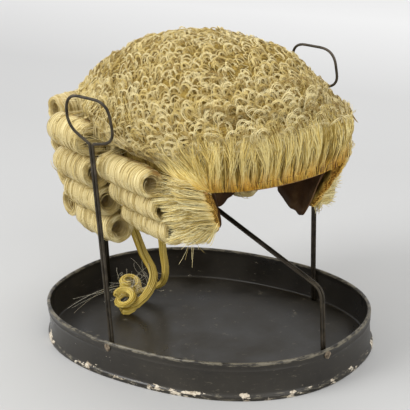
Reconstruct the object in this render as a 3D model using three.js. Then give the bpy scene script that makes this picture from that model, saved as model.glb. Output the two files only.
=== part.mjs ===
// A horsehair court wig resting on the wire frame of its oval tin tray.
// Millimetres, +Z up. The origin is the middle of the tray's underside,
// and +X is the tray's long way, towards the wearer's face.
import * as THREE from 'three';

// Tray
const trayLength = 300;
const trayWidth = 228;
const trayHeight = 33;
const traySquareness = 2.3;
const sheetThickness = 1.4;
const rimBead = 3.2;
const footBeadHeight = 4.6;
const footBeadOut = 1.2;
const wallWaist = 1.2;
const traySides = 48;

// Wires
const wireDiameter = 2.4;
const wireGap = 0.3;
const wireClear = 0.8;
const wireBendSteps = 3;
const handleTop = 246;
const rightHandleAngle = -101;
const rightHandleLean = 6;
const leftHandleAngle = 64;
const leftHandleLean = 10;
const loopWidth = 47;
const loopHeight = 39;
const loopBend = 14;
const supportAngle = -14;
const supportRise = 84;
const supportUnderCurl = 2;
const supportBend = 9;
const supportSpacing = 8;
const supportLoopWidth = 40;
const supportLoopHeight = 26;

// Wig
const wigTurn = -21.6;
const headMid = 24;
const headHalfLength = 110;
const headHalfWidth = 80;
const headTop = 258;
const headLow = 110;
const capThickness = 1.8;
const hairDepth = 16;
const frontEdge = 177;
const ridgeHeight = 226;
const sideLine = 200;
const flapTip = 137;
const earNotch = 181;
const napeEdge = 118;
const cornerTurn = 44;
const flapEnd = 63;
const flapCurl = 11;
const notchEnd = 104;
const bindingWidth = 3.4;
const bindingThickness = 1.2;
const lockDepth = 12;
const weftSide = 4;
const weftBack = 20;
const seatGap = 0.3;
const hairSeat = 2.8;

// Curls and tails
const rollRadius = 14.4;
const rollLength = 68;
const curlBore = 0.42;
const curlSides = 12;
const curlTop = 198;
const sideCurlTop = 182;
const curlLine = curlTop + rollRadius + 2;
const tailThickness = 8;
const tailSides = 6;
const rightTailBeside = 9;
const leftTailBeside = 25;
const ringletRadius = 8;
const ringletTurns = 2.5;

const fullTurn = 2 * Math.PI;
const radians = THREE.MathUtils.degToRad;
const { clamp, lerp, smoothstep } = THREE.MathUtils;

const spanTurns = (from, to, steps) => (
  Array.from({ length: steps + 1 }, (_, i) => lerp(from, to, i / steps)));

// Collects the faces of one closed body and gives it as a geometry facing out.
class Skin {
  constructor() {
    this.corners = [];
    this.faces = [];
    this.known = new Map();
  }

  corner(point) {
    const key = point.toArray().map((value) => Math.round(value * 1e4)).join(',');
    if (!this.known.has(key)) {
      this.known.set(key, this.corners.length);
      this.corners.push(point);
    }
    return this.known.get(key);
  }

  triangle(a, b, c) {
    const face = [this.corner(a), this.corner(b), this.corner(c)];
    if (new Set(face).size === 3) this.faces.push(face);
  }

  // Joins two rows of as many points by a strip of faces.
  band(lower, upper, closed) {
    const count = closed ? lower.length : lower.length - 1;
    for (let i = 0; i < count; i += 1) {
      const next = (i + 1) % lower.length;
      this.triangle(lower[i], lower[next], upper[next]);
      this.triangle(lower[i], upper[next], upper[i]);
    }
  }

  geometry() {
    let volume = 0;
    for (const [a, b, c] of this.faces) {
      volume += this.corners[a].dot(this.corners[b].clone().cross(this.corners[c]));
    }
    const index = this.faces.flatMap(([a, b, c]) => (volume < 0 ? [a, c, b] : [a, b, c]));
    const places = this.corners.flatMap((point) => point.toArray());
    const geometry = new THREE.BufferGeometry();
    geometry.setAttribute('position', new THREE.Float32BufferAttribute(places, 3));
    geometry.setIndex(index);
    geometry.computeVertexNormals();
    return geometry;
  }
}

// A closed wall between two grids of points that have the same rows and columns.
function wallGeometry(outer, inner, closed) {
  const skin = new Skin();
  const last = outer.length - 1;
  for (let i = 0; i < last; i += 1) {
    skin.band(outer[i], outer[i + 1], closed);
    skin.band(inner[i + 1], inner[i], closed);
  }
  skin.band(inner[0], outer[0], closed);
  skin.band(outer[last], inner[last], closed);
  if (!closed) {
    const column = (grid, j) => grid.map((row) => row[j]);
    const end = outer[0].length - 1;
    skin.band(column(outer, 0), column(inner, 0), false);
    skin.band(column(inner, end), column(outer, end), false);
  }
  return skin.geometry();
}

// A solid of rings in order, each end shut by a fan to its middle.
function ringSolid(rings) {
  const skin = new Skin();
  for (let i = 0; i < rings.length - 1; i += 1) skin.band(rings[i], rings[i + 1], true);
  for (const [ring, flip] of [[rings[0], true], [rings.at(-1), false]]) {
    const middle = new THREE.Vector3();
    ring.forEach((point) => middle.addScaledVector(point, 1 / ring.length));
    for (let i = 0; i < ring.length; i += 1) {
      const next = (i + 1) % ring.length;
      if (flip) skin.triangle(middle, ring[next], ring[i]);
      else skin.triangle(middle, ring[i], ring[next]);
    }
  }
  return skin.geometry();
}

// The value of a named column between the rows of a table, on a smooth curve.
function columnAt(rows, name, level) {
  const i = Math.min(Math.floor(level), rows.length - 2);
  const t = level - i;
  const at = (k) => rows[clamp(k, 0, rows.length - 1)][name];
  const [a, b] = [at(i), at(i + 1)];
  const limit = (slope) => Math.sign(b - a) * Math.min(Math.abs(slope), 2 * Math.abs(b - a));
  const into = limit((b - at(i - 1)) / 2);
  const out = limit((at(i + 2) - a) / 2);
  return ((2 * t - 3) * t * t + 1) * a + ((t - 2) * t + 1) * t * into
    + (3 - 2 * t) * t * t * b + (t - 1) * t * t * out;
}

// The value of a column over another, straight between the rows of a table.
function straightAt(rows, over, name, place) {
  const next = rows.findIndex((row) => row[over] >= place);
  if (next < 0) return rows.at(-1)[name];
  if (next === 0) return rows[0][name];
  const [a, b] = [rows[next - 1], rows[next]];
  return lerp(a[name], b[name], (place - a[over]) / (b[over] - a[over]));
}

// The height of an edge line at a turn in degrees from the face.
const lineAt = (rows, degrees) => straightAt(rows, 'turn', 'height', degrees);

// The first point of some meshes that is met from a place in a direction.
function firstMet(meshes, from, direction) {
  const [hit] = new THREE.Raycaster(from, direction).intersectObjects(meshes);
  return hit ? hit.point : null;
}

// Tray: the outset and height of its sheet, from the underside round the rim to the floor.
const rimRadius = rimBead / 2;
const trayProfile = [
  { out: 0, height: 0 },
  { out: footBeadOut, height: 0.8 },
  { out: footBeadOut, height: footBeadHeight - 1 },
  { out: 0, height: footBeadHeight },
  { out: -wallWaist, height: trayHeight * 0.5 },
  { out: -0.3, height: trayHeight - rimBead },
  { out: 0, height: trayHeight - rimRadius },
  { out: -rimRadius * 0.4, height: trayHeight - 0.3 },
  { out: -rimRadius, height: trayHeight },
  { out: -rimBead + 0.4, height: trayHeight - 0.6 },
  { out: -rimBead, height: trayHeight - rimRadius },
  { out: -wallWaist - sheetThickness, height: trayHeight - rimBead },
  { out: -wallWaist - sheetThickness, height: trayHeight * 0.5 },
  { out: -wallWaist - sheetThickness, height: sheetThickness },
];

function ovalPoint(angle, out, height) {
  const power = 2 / traySquareness;
  const x = Math.sign(Math.cos(angle)) * Math.abs(Math.cos(angle)) ** power;
  const y = Math.sign(Math.sin(angle)) * Math.abs(Math.sin(angle)) ** power;
  return new THREE.Vector3(x * (trayLength / 2 + out), y * (trayWidth / 2 + out), height);
}

// The point of the oval that lies in a direction from its middle.
function ovalToward(degrees, out) {
  const angle = radians(degrees);
  const x = Math.abs(Math.cos(angle)) / (trayLength / 2 + out);
  const y = Math.abs(Math.sin(angle)) / (trayWidth / 2 + out);
  const reach = (x ** traySquareness + y ** traySquareness) ** (-1 / traySquareness);
  return new THREE.Vector3(Math.cos(angle) * reach, Math.sin(angle) * reach, 0);
}

function trayGeometry() {
  const rings = trayProfile.map((row) => {
    const ring = [];
    for (let i = 0; i < traySides; i += 1) {
      ring.push(ovalPoint((i / traySides) * fullTurn, row.out, row.height));
    }
    return ring;
  });
  return ringSolid(rings);
}

// A path that goes through its points one by one, so that bends get more steps than runs.
class BentPath extends THREE.Curve {
  constructor(points) {
    super();
    this.points = points;
  }

  getPoint(t, target = new THREE.Vector3()) {
    const place = t * (this.points.length - 1);
    const i = Math.min(Math.floor(place + 1e-6), this.points.length - 2);
    return target.lerpVectors(this.points[i], this.points[i + 1], place - i);
  }

  getPointAt(u, target) {
    return this.getPoint(u, target);
  }

  getTangentAt(u, target = new THREE.Vector3()) {
    const step = 0.5 / (this.points.length - 1);
    const ahead = this.getPoint(Math.min(1, u + step));
    return target.subVectors(ahead, this.getPoint(Math.max(0, u - step))).normalize();
  }
}

// The points of a run of straights with rounded corners.
function roundedRun(corners) {
  const points = [corners[0].at];
  for (let i = 1; i < corners.length - 1; i += 1) {
    const here = corners[i].at;
    const back = corners[i - 1].at.clone().sub(here);
    const on = corners[i + 1].at.clone().sub(here);
    const bend = Math.min(corners[i].bend, back.length() * 0.48, on.length() * 0.48);
    const from = here.clone().addScaledVector(back.normalize(), bend);
    const to = here.clone().addScaledVector(on.normalize(), bend);
    const arc = new THREE.QuadraticBezierCurve3(from, here, to);
    points.push(...arc.getPoints(wireBendSteps));
  }
  points.push(corners.at(-1).at);
  return points;
}

function rodGeometry(points, diameter, sides) {
  const section = new THREE.Shape().absarc(0, 0, diameter / 2, 0, fullTurn);
  return new THREE.ExtrudeGeometry(section, {
    steps: points.length - 1,
    curveSegments: sides / 2,
    extrudePath: new BentPath(points),
  });
}

// The corners of a finger loop as shares of its width and height, from its neck round.
const loopCorners = [
  { across: -0.5, rise: 0.34 },
  { across: -0.46, rise: 1 },
  { across: 0.42, rise: 0.92 },
  { across: 0.5, rise: 0.1 },
];

// One wire bent double: up its stem, round a loop and down beside itself.
function hairpin(stem, across, loop) {
  const apart = (wireDiameter + wireGap) / 2;
  const neck = stem.at(-1).at;
  const beside = (side) => stem.map(({ at, bend }) => (
    { at: at.clone().addScaledVector(across, side * apart), bend }));
  const round = loopCorners.map((corner) => ({
    at: neck.clone().addScaledVector(across, corner.across * loop.width)
      .add(new THREE.Vector3(0, 0, corner.rise * loop.height)),
    bend: loopBend,
  }));
  const corners = [...beside(-1), ...round, ...beside(1).reverse()];
  return roundedRun(corners);
}

const wireInset = -(rimBead + wireClear + wireDiameter / 2);
const wireFoot = sheetThickness + seatGap;
const up = (height) => new THREE.Vector3(0, 0, height);

function handleGeometry(degrees, lean) {
  const foot = ovalToward(degrees, wireInset);
  const neck = foot.clone().add(new THREE.Vector3(0, Math.sign(foot.y) * lean, 0));
  const stem = [
    { at: foot.clone().add(up(wireFoot)), bend: 0 },
    { at: foot.clone().add(up(trayHeight)), bend: supportBend },
    { at: neck.add(up(handleTop - wireDiameter / 2 - loopHeight)), bend: 2 },
  ];
  const run = hairpin(stem, new THREE.Vector3(1, 0, 0), { width: loopWidth, height: loopHeight });
  return rodGeometry(run, wireDiameter, 8);
}

// How steeply the supports slant, so that the back one passes under the lowest back curls.
function supportSlope(curl) {
  const foot = ovalToward(supportAngle, wireInset).length();
  const run = foot - Math.hypot(curl.x, curl.y);
  const below = rollRadius + wireDiameter / 2 + supportUnderCurl;
  return (curl.z - below - supportRise) / run;
}

// A support slants in from its foot to the middle and ends in a loop at the given top.
function supportRun(degrees, slope, top) {
  const foot = ovalToward(degrees, wireInset);
  const along = foot.clone().normalize();
  const middle = along.clone().multiplyScalar(supportSpacing / 2);
  const height = supportRise + slope * (foot.length() - supportSpacing / 2);
  const stem = [
    { at: foot.clone().add(up(wireFoot)), bend: 0 },
    { at: foot.clone().add(up(supportRise)), bend: supportBend },
    { at: middle.clone().add(up(height)), bend: supportBend },
    { at: middle.clone().add(up(top - supportLoopHeight)), bend: supportBend },
  ];
  const across = new THREE.Vector3(-along.y, along.x, 0);
  return hairpin(stem, across, { width: supportLoopWidth, height: supportLoopHeight });
}

// The support's loop is lifted until its wire lies the seat gap under the cap.
function supportGeometry(degrees, slope, cap) {
  const top = headTop - supportLoopHeight;
  const loop = supportRun(degrees, slope, top).filter((point) => (
    point.z > top - supportLoopHeight));
  const room = loop.map((point) => {
    const under = point.clone().applyAxisAngle(up(1), -radians(wigTurn));
    return firstMet([cap], under, up(1)).z - point.z;
  });
  const lift = Math.min(...room) - seatGap - wireDiameter / 2;
  return rodGeometry(supportRun(degrees, slope, top + lift), wireDiameter, 8);
}

// The head form: shares of its half length, half width and height, from the nape up.
// Lift says how far a layer over it rises as it grows outward.
const headRows = [
  { rise: 0, front: 0.9, back: 0.88, side: 0.72, square: 2.4, lift: 0 },
  { rise: 0.24, front: 0.97, back: 0.95, side: 0.86, square: 2.5, lift: 0 },
  { rise: 0.46, front: 1, back: 1, side: 0.985, square: 2.6, lift: 0.05 },
  { rise: 0.64, front: 0.99, back: 0.985, side: 0.99, square: 2.6, lift: 0.15 },
  { rise: 0.79, front: 0.93, back: 0.9, side: 0.91, square: 2.4, lift: 0.4 },
  { rise: 0.9, front: 0.79, back: 0.73, side: 0.75, square: 2.2, lift: 0.75 },
  { rise: 0.975, front: 0.5, back: 0.44, side: 0.46, square: 2, lift: 0.95 },
  { rise: 1, front: 0, back: 0, side: 0, square: 2, lift: 1 },
];
const headLevels = headRows.length - 1;

function headPoint(level, degrees, out) {
  const angle = radians(degrees);
  const share = (name) => columnAt(headRows, name, level);
  const power = 2 / share('square');
  const x = Math.sign(Math.cos(angle)) * Math.abs(Math.cos(angle)) ** power;
  const y = Math.sign(Math.sin(angle)) * Math.abs(Math.sin(angle)) ** power;
  const reach = x > 0 ? share('front') : share('back');
  const height = lerp(headLow, headTop, share('rise'));
  const hang = clamp((frontEdge - height) / (frontEdge - flapTip), 0, 1);
  const curl = flapCurl * hang * (1 - smoothstep(Math.abs(degrees), flapEnd + 4, notchEnd));
  return new THREE.Vector3(
    headMid + x * (headHalfLength + out) * reach,
    y * ((headHalfWidth + out) * share('side') - curl),
    height + out * share('lift'),
  );
}

// The level of the head form at a height, found by halving.
function levelAt(height) {
  let [low, high] = [0, headLevels];
  for (let i = 0; i < 30; i += 1) {
    const middle = (low + high) / 2;
    if (lerp(headLow, headTop, columnAt(headRows, 'rise', middle)) < height) low = middle;
    else high = middle;
  }
  return low;
}

// The cap's lower edge: heights by turn in degrees from the middle of the forehead.
// The right flap hangs straight from its corner, and the left one sweeps back to its tip.
const rightEdge = [
  { turn: 0, height: frontEdge },
  { turn: cornerTurn, height: frontEdge },
  { turn: 45.5, height: lerp(frontEdge, flapTip, 0.6) },
  { turn: 49, height: flapTip },
  { turn: 57, height: flapTip },
  { turn: flapEnd, height: lerp(flapTip, earNotch, 0.4) },
  { turn: 67, height: earNotch },
  { turn: 96, height: earNotch },
  { turn: notchEnd, height: lerp(earNotch, napeEdge, 0.5) },
  { turn: 112, height: napeEdge },
  { turn: 180, height: napeEdge },
];
const leftEdge = [
  { turn: 0, height: frontEdge },
  { turn: cornerTurn, height: frontEdge },
  { turn: 49, height: lerp(frontEdge, flapTip, 0.45) },
  { turn: 55, height: lerp(frontEdge, flapTip, 0.9) },
  { turn: 59, height: lerp(frontEdge, flapTip, 1.2) },
  { turn: flapEnd, height: flapTip },
  { turn: 67, height: earNotch },
  { turn: 96, height: earNotch },
  { turn: notchEnd, height: lerp(earNotch, napeEdge, 0.5) },
  { turn: 112, height: napeEdge },
  { turn: 180, height: napeEdge },
];
const edgeAt = (degrees) => lineAt(degrees < 0 ? rightEdge : leftEdge, Math.abs(degrees));

// Where the crown hair ends: over the forepart, the temples and the curls.
const crownLine = [
  { turn: 0, height: ridgeHeight },
  { turn: cornerTurn + 0.4, height: ridgeHeight },
  { turn: cornerTurn + 0.8, height: sideLine },
  { turn: 96, height: sideLine },
  { turn: notchEnd, height: curlLine },
  { turn: 180, height: curlLine },
];
const crownAt = (degrees) => lineAt(crownLine, Math.abs(degrees));

// The turns at which a layer has its columns: a row of each edge line, and some between.
const frontTurns = [9, 18, 27, 36, cornerTurn - 1];
const backTurns = [81, 96, notchEnd, 112, 128, 145, 163];
const sideTurns = (edge) => edge.map((row) => row.turn).filter((value) => value > 0 && value < 90);
const rightTurns = [...frontTurns, ...sideTurns(rightEdge), ...backTurns];
const leftTurns = [...frontTurns, ...sideTurns(leftEdge), ...backTurns];
const mirrored = (turns) => turns.map((value) => -value).reverse();
const capTurns = [...mirrored(rightTurns), 0, ...leftTurns, 180];

// A grid over the head between a lower and an upper line, at given turns.
function headGrid(turns, steps, lower, upper, out) {
  const grid = [];
  for (let i = 0; i <= steps; i += 1) {
    grid.push(turns.map((degrees) => {
      const level = lerp(lower(degrees), upper(degrees), i / steps);
      return headPoint(level, degrees, out(level, degrees));
    }));
  }
  return grid;
}

function capGeometry() {
  const lower = (degrees) => levelAt(edgeAt(degrees));
  const upper = () => headLevels;
  const grid = (out) => headGrid(capTurns, 8, lower, upper, () => out);
  return wallGeometry(grid(0), grid(-capThickness), true);
}

// How thick the hair stands at each level, as shares of its depth, by side of the head.
const hairRows = [
  { front: 0.2, side: 0.6, back: 1.2 },
  { front: 0.2, side: 0.7, back: 1.5 },
  { front: 0.3, side: 0.95, back: 2 },
  { front: 0.8, side: 1.1, back: 2.2 },
  { front: 1.2, side: 1.1, back: 1.8 },
  { front: 1, side: 0.95, back: 1.2 },
  { front: 1, side: 0.9, back: 1 },
  { front: 0.95, side: 0.95, back: 0.95 },
];

function hairOut(level, degrees) {
  const ahead = Math.cos(radians(degrees));
  const share = (name) => columnAt(hairRows, name, level);
  const end = ahead > 0 ? share('front') : share('back');
  return hairDepth * lerp(share('side'), end, ahead * ahead);
}

// Crown hair: from its line up to the pole.
const crownSide = [cornerTurn + 0.4, cornerTurn + 0.8, 55, 68, 82, 96, notchEnd, 118, 133, 149, 164];

function crownGeometry() {
  const half = [12, 24, 35, ...crownSide];
  const turns = [...mirrored(half), 0, ...half, 180];
  const lower = (degrees) => levelAt(crownAt(degrees) + seatGap);
  const grid = (out) => headGrid(turns, 7, lower, () => headLevels, out);
  return wallGeometry(grid(hairOut), grid(() => hairSeat), true);
}

// Hair between two lines on the head, as a block with open ends.
function hairPatch(turns, steps, low, high, out) {
  const lower = (degrees) => levelAt(low(degrees));
  const upper = (degrees) => levelAt(high(degrees));
  const grid = (depth) => headGrid(turns, steps, lower, upper, depth);
  return wallGeometry(grid(out), grid(() => hairSeat), false);
}

const forepartGeometry = () => hairPatch(spanTurns(-cornerTurn, cornerTurn, 12), 4,
  () => frontEdge + bindingWidth + seatGap, () => ridgeHeight, hairOut);

// The binding along the edge of the forehead.
const bindingGeometry = () => hairPatch(spanTurns(-cornerTurn, cornerTurn, 12), 1,
  () => frontEdge, () => frontEdge + bindingWidth, () => hairSeat + bindingThickness);

// Temple hair: thick over the flap, thin where the side curls lie on it.
function lockGeometry(side) {
  const edge = side < 0 ? rightEdge : leftEdge;
  const turns = [cornerTurn + seatGap, ...sideTurns(edge).slice(1), 81, 96, notchEnd - 1];
  const out = (level, degrees) => {
    const behind = smoothstep(Math.abs(degrees), flapEnd - 3, flapEnd + 4);
    return lerp(lockDepth, weftSide - seatGap, behind);
  };
  return hairPatch(turns.map((value) => value * side), 4, edgeAt, () => sideLine, out);
}

// The weft base behind the ears and round the nape, on which the curls are sewn.
const weftTurns = [notchEnd, 112, 128, 145, 163, 180, 197, 215, 232, 248, 360 - notchEnd];
const weftGeometry = () => hairPatch(weftTurns, 6,
  (degrees) => edgeAt(Math.min(degrees, 360 - degrees)), () => curlLine,
  (level, degrees) => lerp(weftSide, weftBack, Math.cos(radians(degrees)) ** 2));

// A roll of hair wound round a bore, straight, fuller in its middle than at its ends.
const rollRows = [
  { along: -0.5, girth: 0.88 },
  { along: -0.25, girth: 1 },
  { along: 0.2, girth: 1 },
  { along: 0.5, girth: 0.84 },
];

function rollGeometry(length, radius) {
  const ring = (row, share) => Array.from({ length: curlSides }, (_, i) => {
    const angle = (i / curlSides) * fullTurn;
    const reach = radius * share;
    return new THREE.Vector3(row.along * length, Math.cos(angle) * reach, Math.sin(angle) * reach);
  });
  const outer = rollRows.map((row) => ring(row, row.girth));
  const inner = rollRows.map((row) => ring(row, curlBore));
  return wallGeometry(outer, inner, true);
}

// The columns of rolls on one side: how far forward they lie as a share of the head's half
// length, their length and radius as shares of a full roll's, and for each roll how far it is
// tucked in under the one above, in radii. A roll with no tuck lies on the hair behind it.
const columns = [
  { name: 'side_curl', top: sideCurlTop, along: 0.19, length: 1, girth: 0.84, tucks: [null, 0.8, 0.8] },
  {
    name: 'quarter_curl', top: curlTop, along: -0.57, length: 0.82, girth: 1,
    tucks: [null, null, null, null],
  },
  { name: 'back_curl', top: curlTop, along: 0, length: 1.08, girth: 1, tucks: [null, null, null, null] },
];

// How far out a roll's middle lies when the roll rests on the meshes behind it.
function seatOut(meshes, middle, outward, length, radius) {
  const along = new THREE.Vector3(Math.abs(outward.y), Math.abs(outward.x), 0);
  const outs = spanTurns(-0.5, 0.5, 14).flatMap((share) => spanTurns(-1, 1, 24).map((lift) => {
    const from = middle.clone().addScaledVector(along, share * length).add(up(lift * radius))
      .addScaledVector(outward, 2 * headHalfLength);
    const met = firstMet(meshes, from, outward.clone().negate());
    const reach = radius * straightAt(rollRows, 'along', 'girth', share) + seatGap;
    const clear = Math.sqrt(Math.max(0, reach ** 2 - (lift * radius) ** 2));
    return met ? met.dot(outward) + clear : -Infinity;
  }));
  return Math.max(...outs);
}

// How far apart the middles of two rolls lie that touch, when one is so far out from the other.
function rollPitch(radius, out, drop) {
  const side = fullTurn / curlSides;
  const lean = Math.abs(Math.atan2(out, drop)) % side;
  return (2 * radius * Math.cos(side / 2) + seatGap) / Math.cos(lean - side / 2);
}

// The places of the rolls of a column, from the top down, on one side of the head.
function rollPlaces(column, side, meshes) {
  const behind = column.name === 'back_curl';
  const outward = behind ? new THREE.Vector3(-1, 0, 0) : new THREE.Vector3(0, side, 0);
  const length = rollLength * column.length;
  const radius = rollRadius * column.girth;
  const middle = behind ? new THREE.Vector3(headMid, side * (length + seatGap) / 2, 0)
    : new THREE.Vector3(headMid + headHalfLength * column.along, 0, 0);
  const places = [];
  for (const tuck of column.tucks) {
    const above = places.at(-1);
    let height = above ? above.height - 2 * radius : column.top;
    let out = 0;
    for (let i = 0; i < 6; i += 1) {
      const level = middle.clone().add(up(height));
      out = tuck === null ? seatOut(meshes, level, outward, length, radius) : above.out - tuck * radius;
      if (above) {
        const pitch = rollPitch(radius, out - above.out, above.height - height);
        height = above.height - Math.sqrt(pitch ** 2 - (out - above.out) ** 2);
      }
    }
    places.push({ out, height });
  }
  return places.map(({ out, height }) => {
    const at = middle.clone().add(up(height));
    return at.addScaledVector(outward, out - at.dot(outward));
  });
}

// Tails: the two tied queues run from under the lowest back curls down into the tray. Inward is
// the share of the way from the tray's end wall to the curls, across the share of the tray's
// half width, and height the share of the top's. The ringlet at the end lies on the tray floor.
const tails = [
  {
    name: 'tail_right',
    side: -1,
    beside: rightTailBeside,
    route: [
      { inward: 1.03, across: 0.19, height: 0.8 },
      { inward: 1.21, across: 0.225, height: 0.52 },
      { inward: 1.5, across: 0.19, height: 0.34 },
      { inward: 1.5, across: 0.06, height: 0.18 },
    ],
    ringlet: { inward: 1.04, across: 0.03, axis: [0.55, 0.84, 0] },
  },
  {
    name: 'tail_left',
    side: 1,
    beside: leftTailBeside,
    route: [
      { inward: 1.4, across: 0.36, height: 0.8 },
      { inward: 1.55, across: 0.31, height: 0.52 },
      { inward: 1.65, across: 0.27, height: 0.34 },
      { inward: 1.4, across: 0.3, height: 0.17 },
    ],
    ringlet: { inward: 0.58, across: 0.31, axis: [0.63, 0.77, 0] },
  },
];

// A tail runs from beside the back support's line down its route and winds into its ringlet.
function tailGeometry(tail, curl) {
  const wall = -trayLength / 2 - wireInset;
  const place = ({ inward, across }, height) => (
    new THREE.Vector3(lerp(wall, curl.x, inward), across * trayWidth / 2, height));
  const line = ovalToward(supportAngle + 180, 0).normalize();
  const top = line.clone().multiplyScalar(curl.dot(line))
    .add(new THREE.Vector3(line.y, -line.x, 0).multiplyScalar(tail.side * tail.beside))
    .add(up(curl.z - rollRadius - seatGap));
  const axis = new THREE.Vector3(...tail.ringlet.axis).normalize();
  const side = new THREE.Vector3(-axis.y, axis.x, 0);
  const steps = Math.round(ringletTurns * 8);
  const pitch = tailThickness + seatGap * 2;
  const lying = wireFoot + tailThickness / 2 + ringletRadius;
  const ringlet = Array.from({ length: steps + 1 }, (_, i) => {
    const share = i / steps;
    const angle = share * ringletTurns * fullTurn;
    return place(tail.ringlet, lying)
      .addScaledVector(axis, (share - 0.5) * pitch * ringletTurns)
      .addScaledVector(side, -Math.cos(angle) * ringletRadius)
      .add(up(-Math.sin(angle) * ringletRadius));
  });
  const drop = top.clone().sub(up(tailThickness));
  const route = tail.route.map((row) => place(row, row.height * top.z));
  const run = new THREE.CatmullRomCurve3([top, drop, ...route, ringlet[0]]);
  return rodGeometry([...run.getPoints(18), ...ringlet.slice(1)], tailThickness, tailSides);
}

const palette = {
  tin: { color: 0x24221f, roughness: 0.42, metalness: 0.2 },
  wire: { color: 0x3a342c, roughness: 0.4, metalness: 0.8 },
  leather: { color: 0x3a1f10, roughness: 0.75, metalness: 0 },
  hair: { color: 0xd2c089, roughness: 0.6, metalness: 0 },
  binding: { color: 0xb98a3e, roughness: 0.8, metalness: 0 },
};

function part(name, geometry, finish) {
  const mesh = new THREE.Mesh(geometry, new THREE.MeshStandardMaterial(palette[finish]));
  mesh.name = name;
  return mesh;
}

// The wig, and the place of the lowest curl at the back of it.
function wigGroup(cap) {
  const weft = part('weft_base', weftGeometry(), 'hair');
  const wig = new THREE.Group().add(cap, weft);
  wig.add(part('crown_hair', crownGeometry(), 'hair'));
  wig.add(part('forepart_hair', forepartGeometry(), 'hair'));
  wig.add(part('front_binding', bindingGeometry(), 'binding'));
  let lowest;
  for (const [side, word] of [[-1, 'right'], [1, 'left']]) {
    const lock = part(`temple_lock_${word}`, lockGeometry(side), 'hair');
    wig.add(lock);
    for (const column of columns) {
      rollPlaces(column, side, [weft, lock]).forEach((place, row) => {
        const geometry = rollGeometry(rollLength * column.length, rollRadius * column.girth);
        const mesh = part(`${column.name}_${word}_${row + 1}`, geometry, 'hair');
        mesh.position.copy(place);
        if (column.name === 'back_curl') mesh.rotation.z = fullTurn / 4;
        wig.add(mesh);
        lowest = place;
      });
    }
  }
  wig.rotation.z = radians(wigTurn);
  return { wig, lowest };
}

const cap = part('cap', capGeometry(), 'leather');
const { wig, lowest } = wigGroup(cap);
const curl = new THREE.Vector3(lowest.x, 0, lowest.z).applyAxisAngle(up(1), radians(wigTurn));
const slope = supportSlope(curl);
const model = new THREE.Group();
model.add(part('tin_tray', trayGeometry(), 'tin'));
model.add(part('handle_right', handleGeometry(rightHandleAngle, rightHandleLean), 'wire'));
model.add(part('handle_left', handleGeometry(leftHandleAngle, leftHandleLean), 'wire'));
model.add(part('support_front', supportGeometry(supportAngle, slope, cap), 'wire'));
model.add(part('support_back', supportGeometry(supportAngle + 180, slope, cap), 'wire'));
for (const tail of tails) model.add(part(tail.name, tailGeometry(tail, curl), 'hair'));
model.add(wig);

export default model;
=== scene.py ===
from math import (atan2, copysign, cos, degrees, floor, hypot, pi, radians, remainder, sin,
                  sqrt, tau)
from random import Random

import bmesh
import bpy
from mathutils import Matrix, Vector, noise
from mathutils.bvhtree import BVHTree


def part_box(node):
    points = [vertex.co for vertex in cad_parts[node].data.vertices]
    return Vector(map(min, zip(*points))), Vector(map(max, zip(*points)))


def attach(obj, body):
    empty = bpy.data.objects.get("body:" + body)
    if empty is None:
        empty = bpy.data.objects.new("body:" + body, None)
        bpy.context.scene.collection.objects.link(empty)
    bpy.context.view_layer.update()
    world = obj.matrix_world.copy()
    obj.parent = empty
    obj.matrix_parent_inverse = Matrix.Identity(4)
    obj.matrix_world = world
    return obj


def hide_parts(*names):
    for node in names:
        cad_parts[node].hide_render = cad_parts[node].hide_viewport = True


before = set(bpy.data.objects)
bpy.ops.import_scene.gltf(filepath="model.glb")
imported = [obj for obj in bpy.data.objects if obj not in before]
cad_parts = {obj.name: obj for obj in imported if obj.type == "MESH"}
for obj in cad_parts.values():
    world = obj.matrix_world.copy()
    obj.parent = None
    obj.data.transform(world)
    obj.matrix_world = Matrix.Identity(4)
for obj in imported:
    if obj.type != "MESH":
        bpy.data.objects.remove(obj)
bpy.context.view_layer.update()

# Lengths are in millimetres until they are put into a mesh, and turns round the head are in
# degrees from the middle of the forehead.
MM = 0.001
UP = Vector((0, 0, 1))
WIG = Matrix.Rotation(radians(-21.6), 4, "Z")  # how the wig is turned on its stand
WIG_TURN = WIG.to_3x3()
AXIS = 24  # how far forward on the wig the upright axis of the head stands
WHORL = WIG @ Vector((-20 * MM, 0, 268 * MM))
HEAD_MIDDLE = WIG @ Vector((AXIS * MM, 0, 175 * MM))
OUTSIDE = 300 * MM  # further from the axis than any hair
INSIDE = 30 * MM  # nearer to the axis than any scalp

# Materials


class Nodes:
    """A node tree built up call by call. A value is a number or another node's output."""

    def __init__(self, tree):
        self.tree = tree

    def put(self, value, socket):
        if isinstance(value, bpy.types.NodeSocket):
            self.tree.links.new(value, socket)
        else:
            socket.default_value = value

    def node(self, kind, inputs=None, **fields):
        made_node = self.tree.nodes.new(kind)
        for field, value in fields.items():
            setattr(made_node, field, value)
        for key, value in (inputs or {}).items():
            self.put(value, made_node.inputs[key])
        return made_node

    def out(self, kind, inputs=None, **fields):
        return self.node(kind, inputs, **fields).outputs[0]

    def math(self, operation, one, other=0.0):
        return self.out("ShaderNodeMath", {0: one, 1: other}, operation=operation)

    def times(self, one, other):
        return self.math("MULTIPLY", one, other)

    def sum(self, one, share, other, other_share):
        return self.math("ADD", self.times(one, share), self.times(other, other_share))

    def grade(self, value, low, high, bottom=0.0, top=1.0):
        return self.out("ShaderNodeMapRange", {0: value, 1: low, 2: high, 3: bottom, 4: top})


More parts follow.
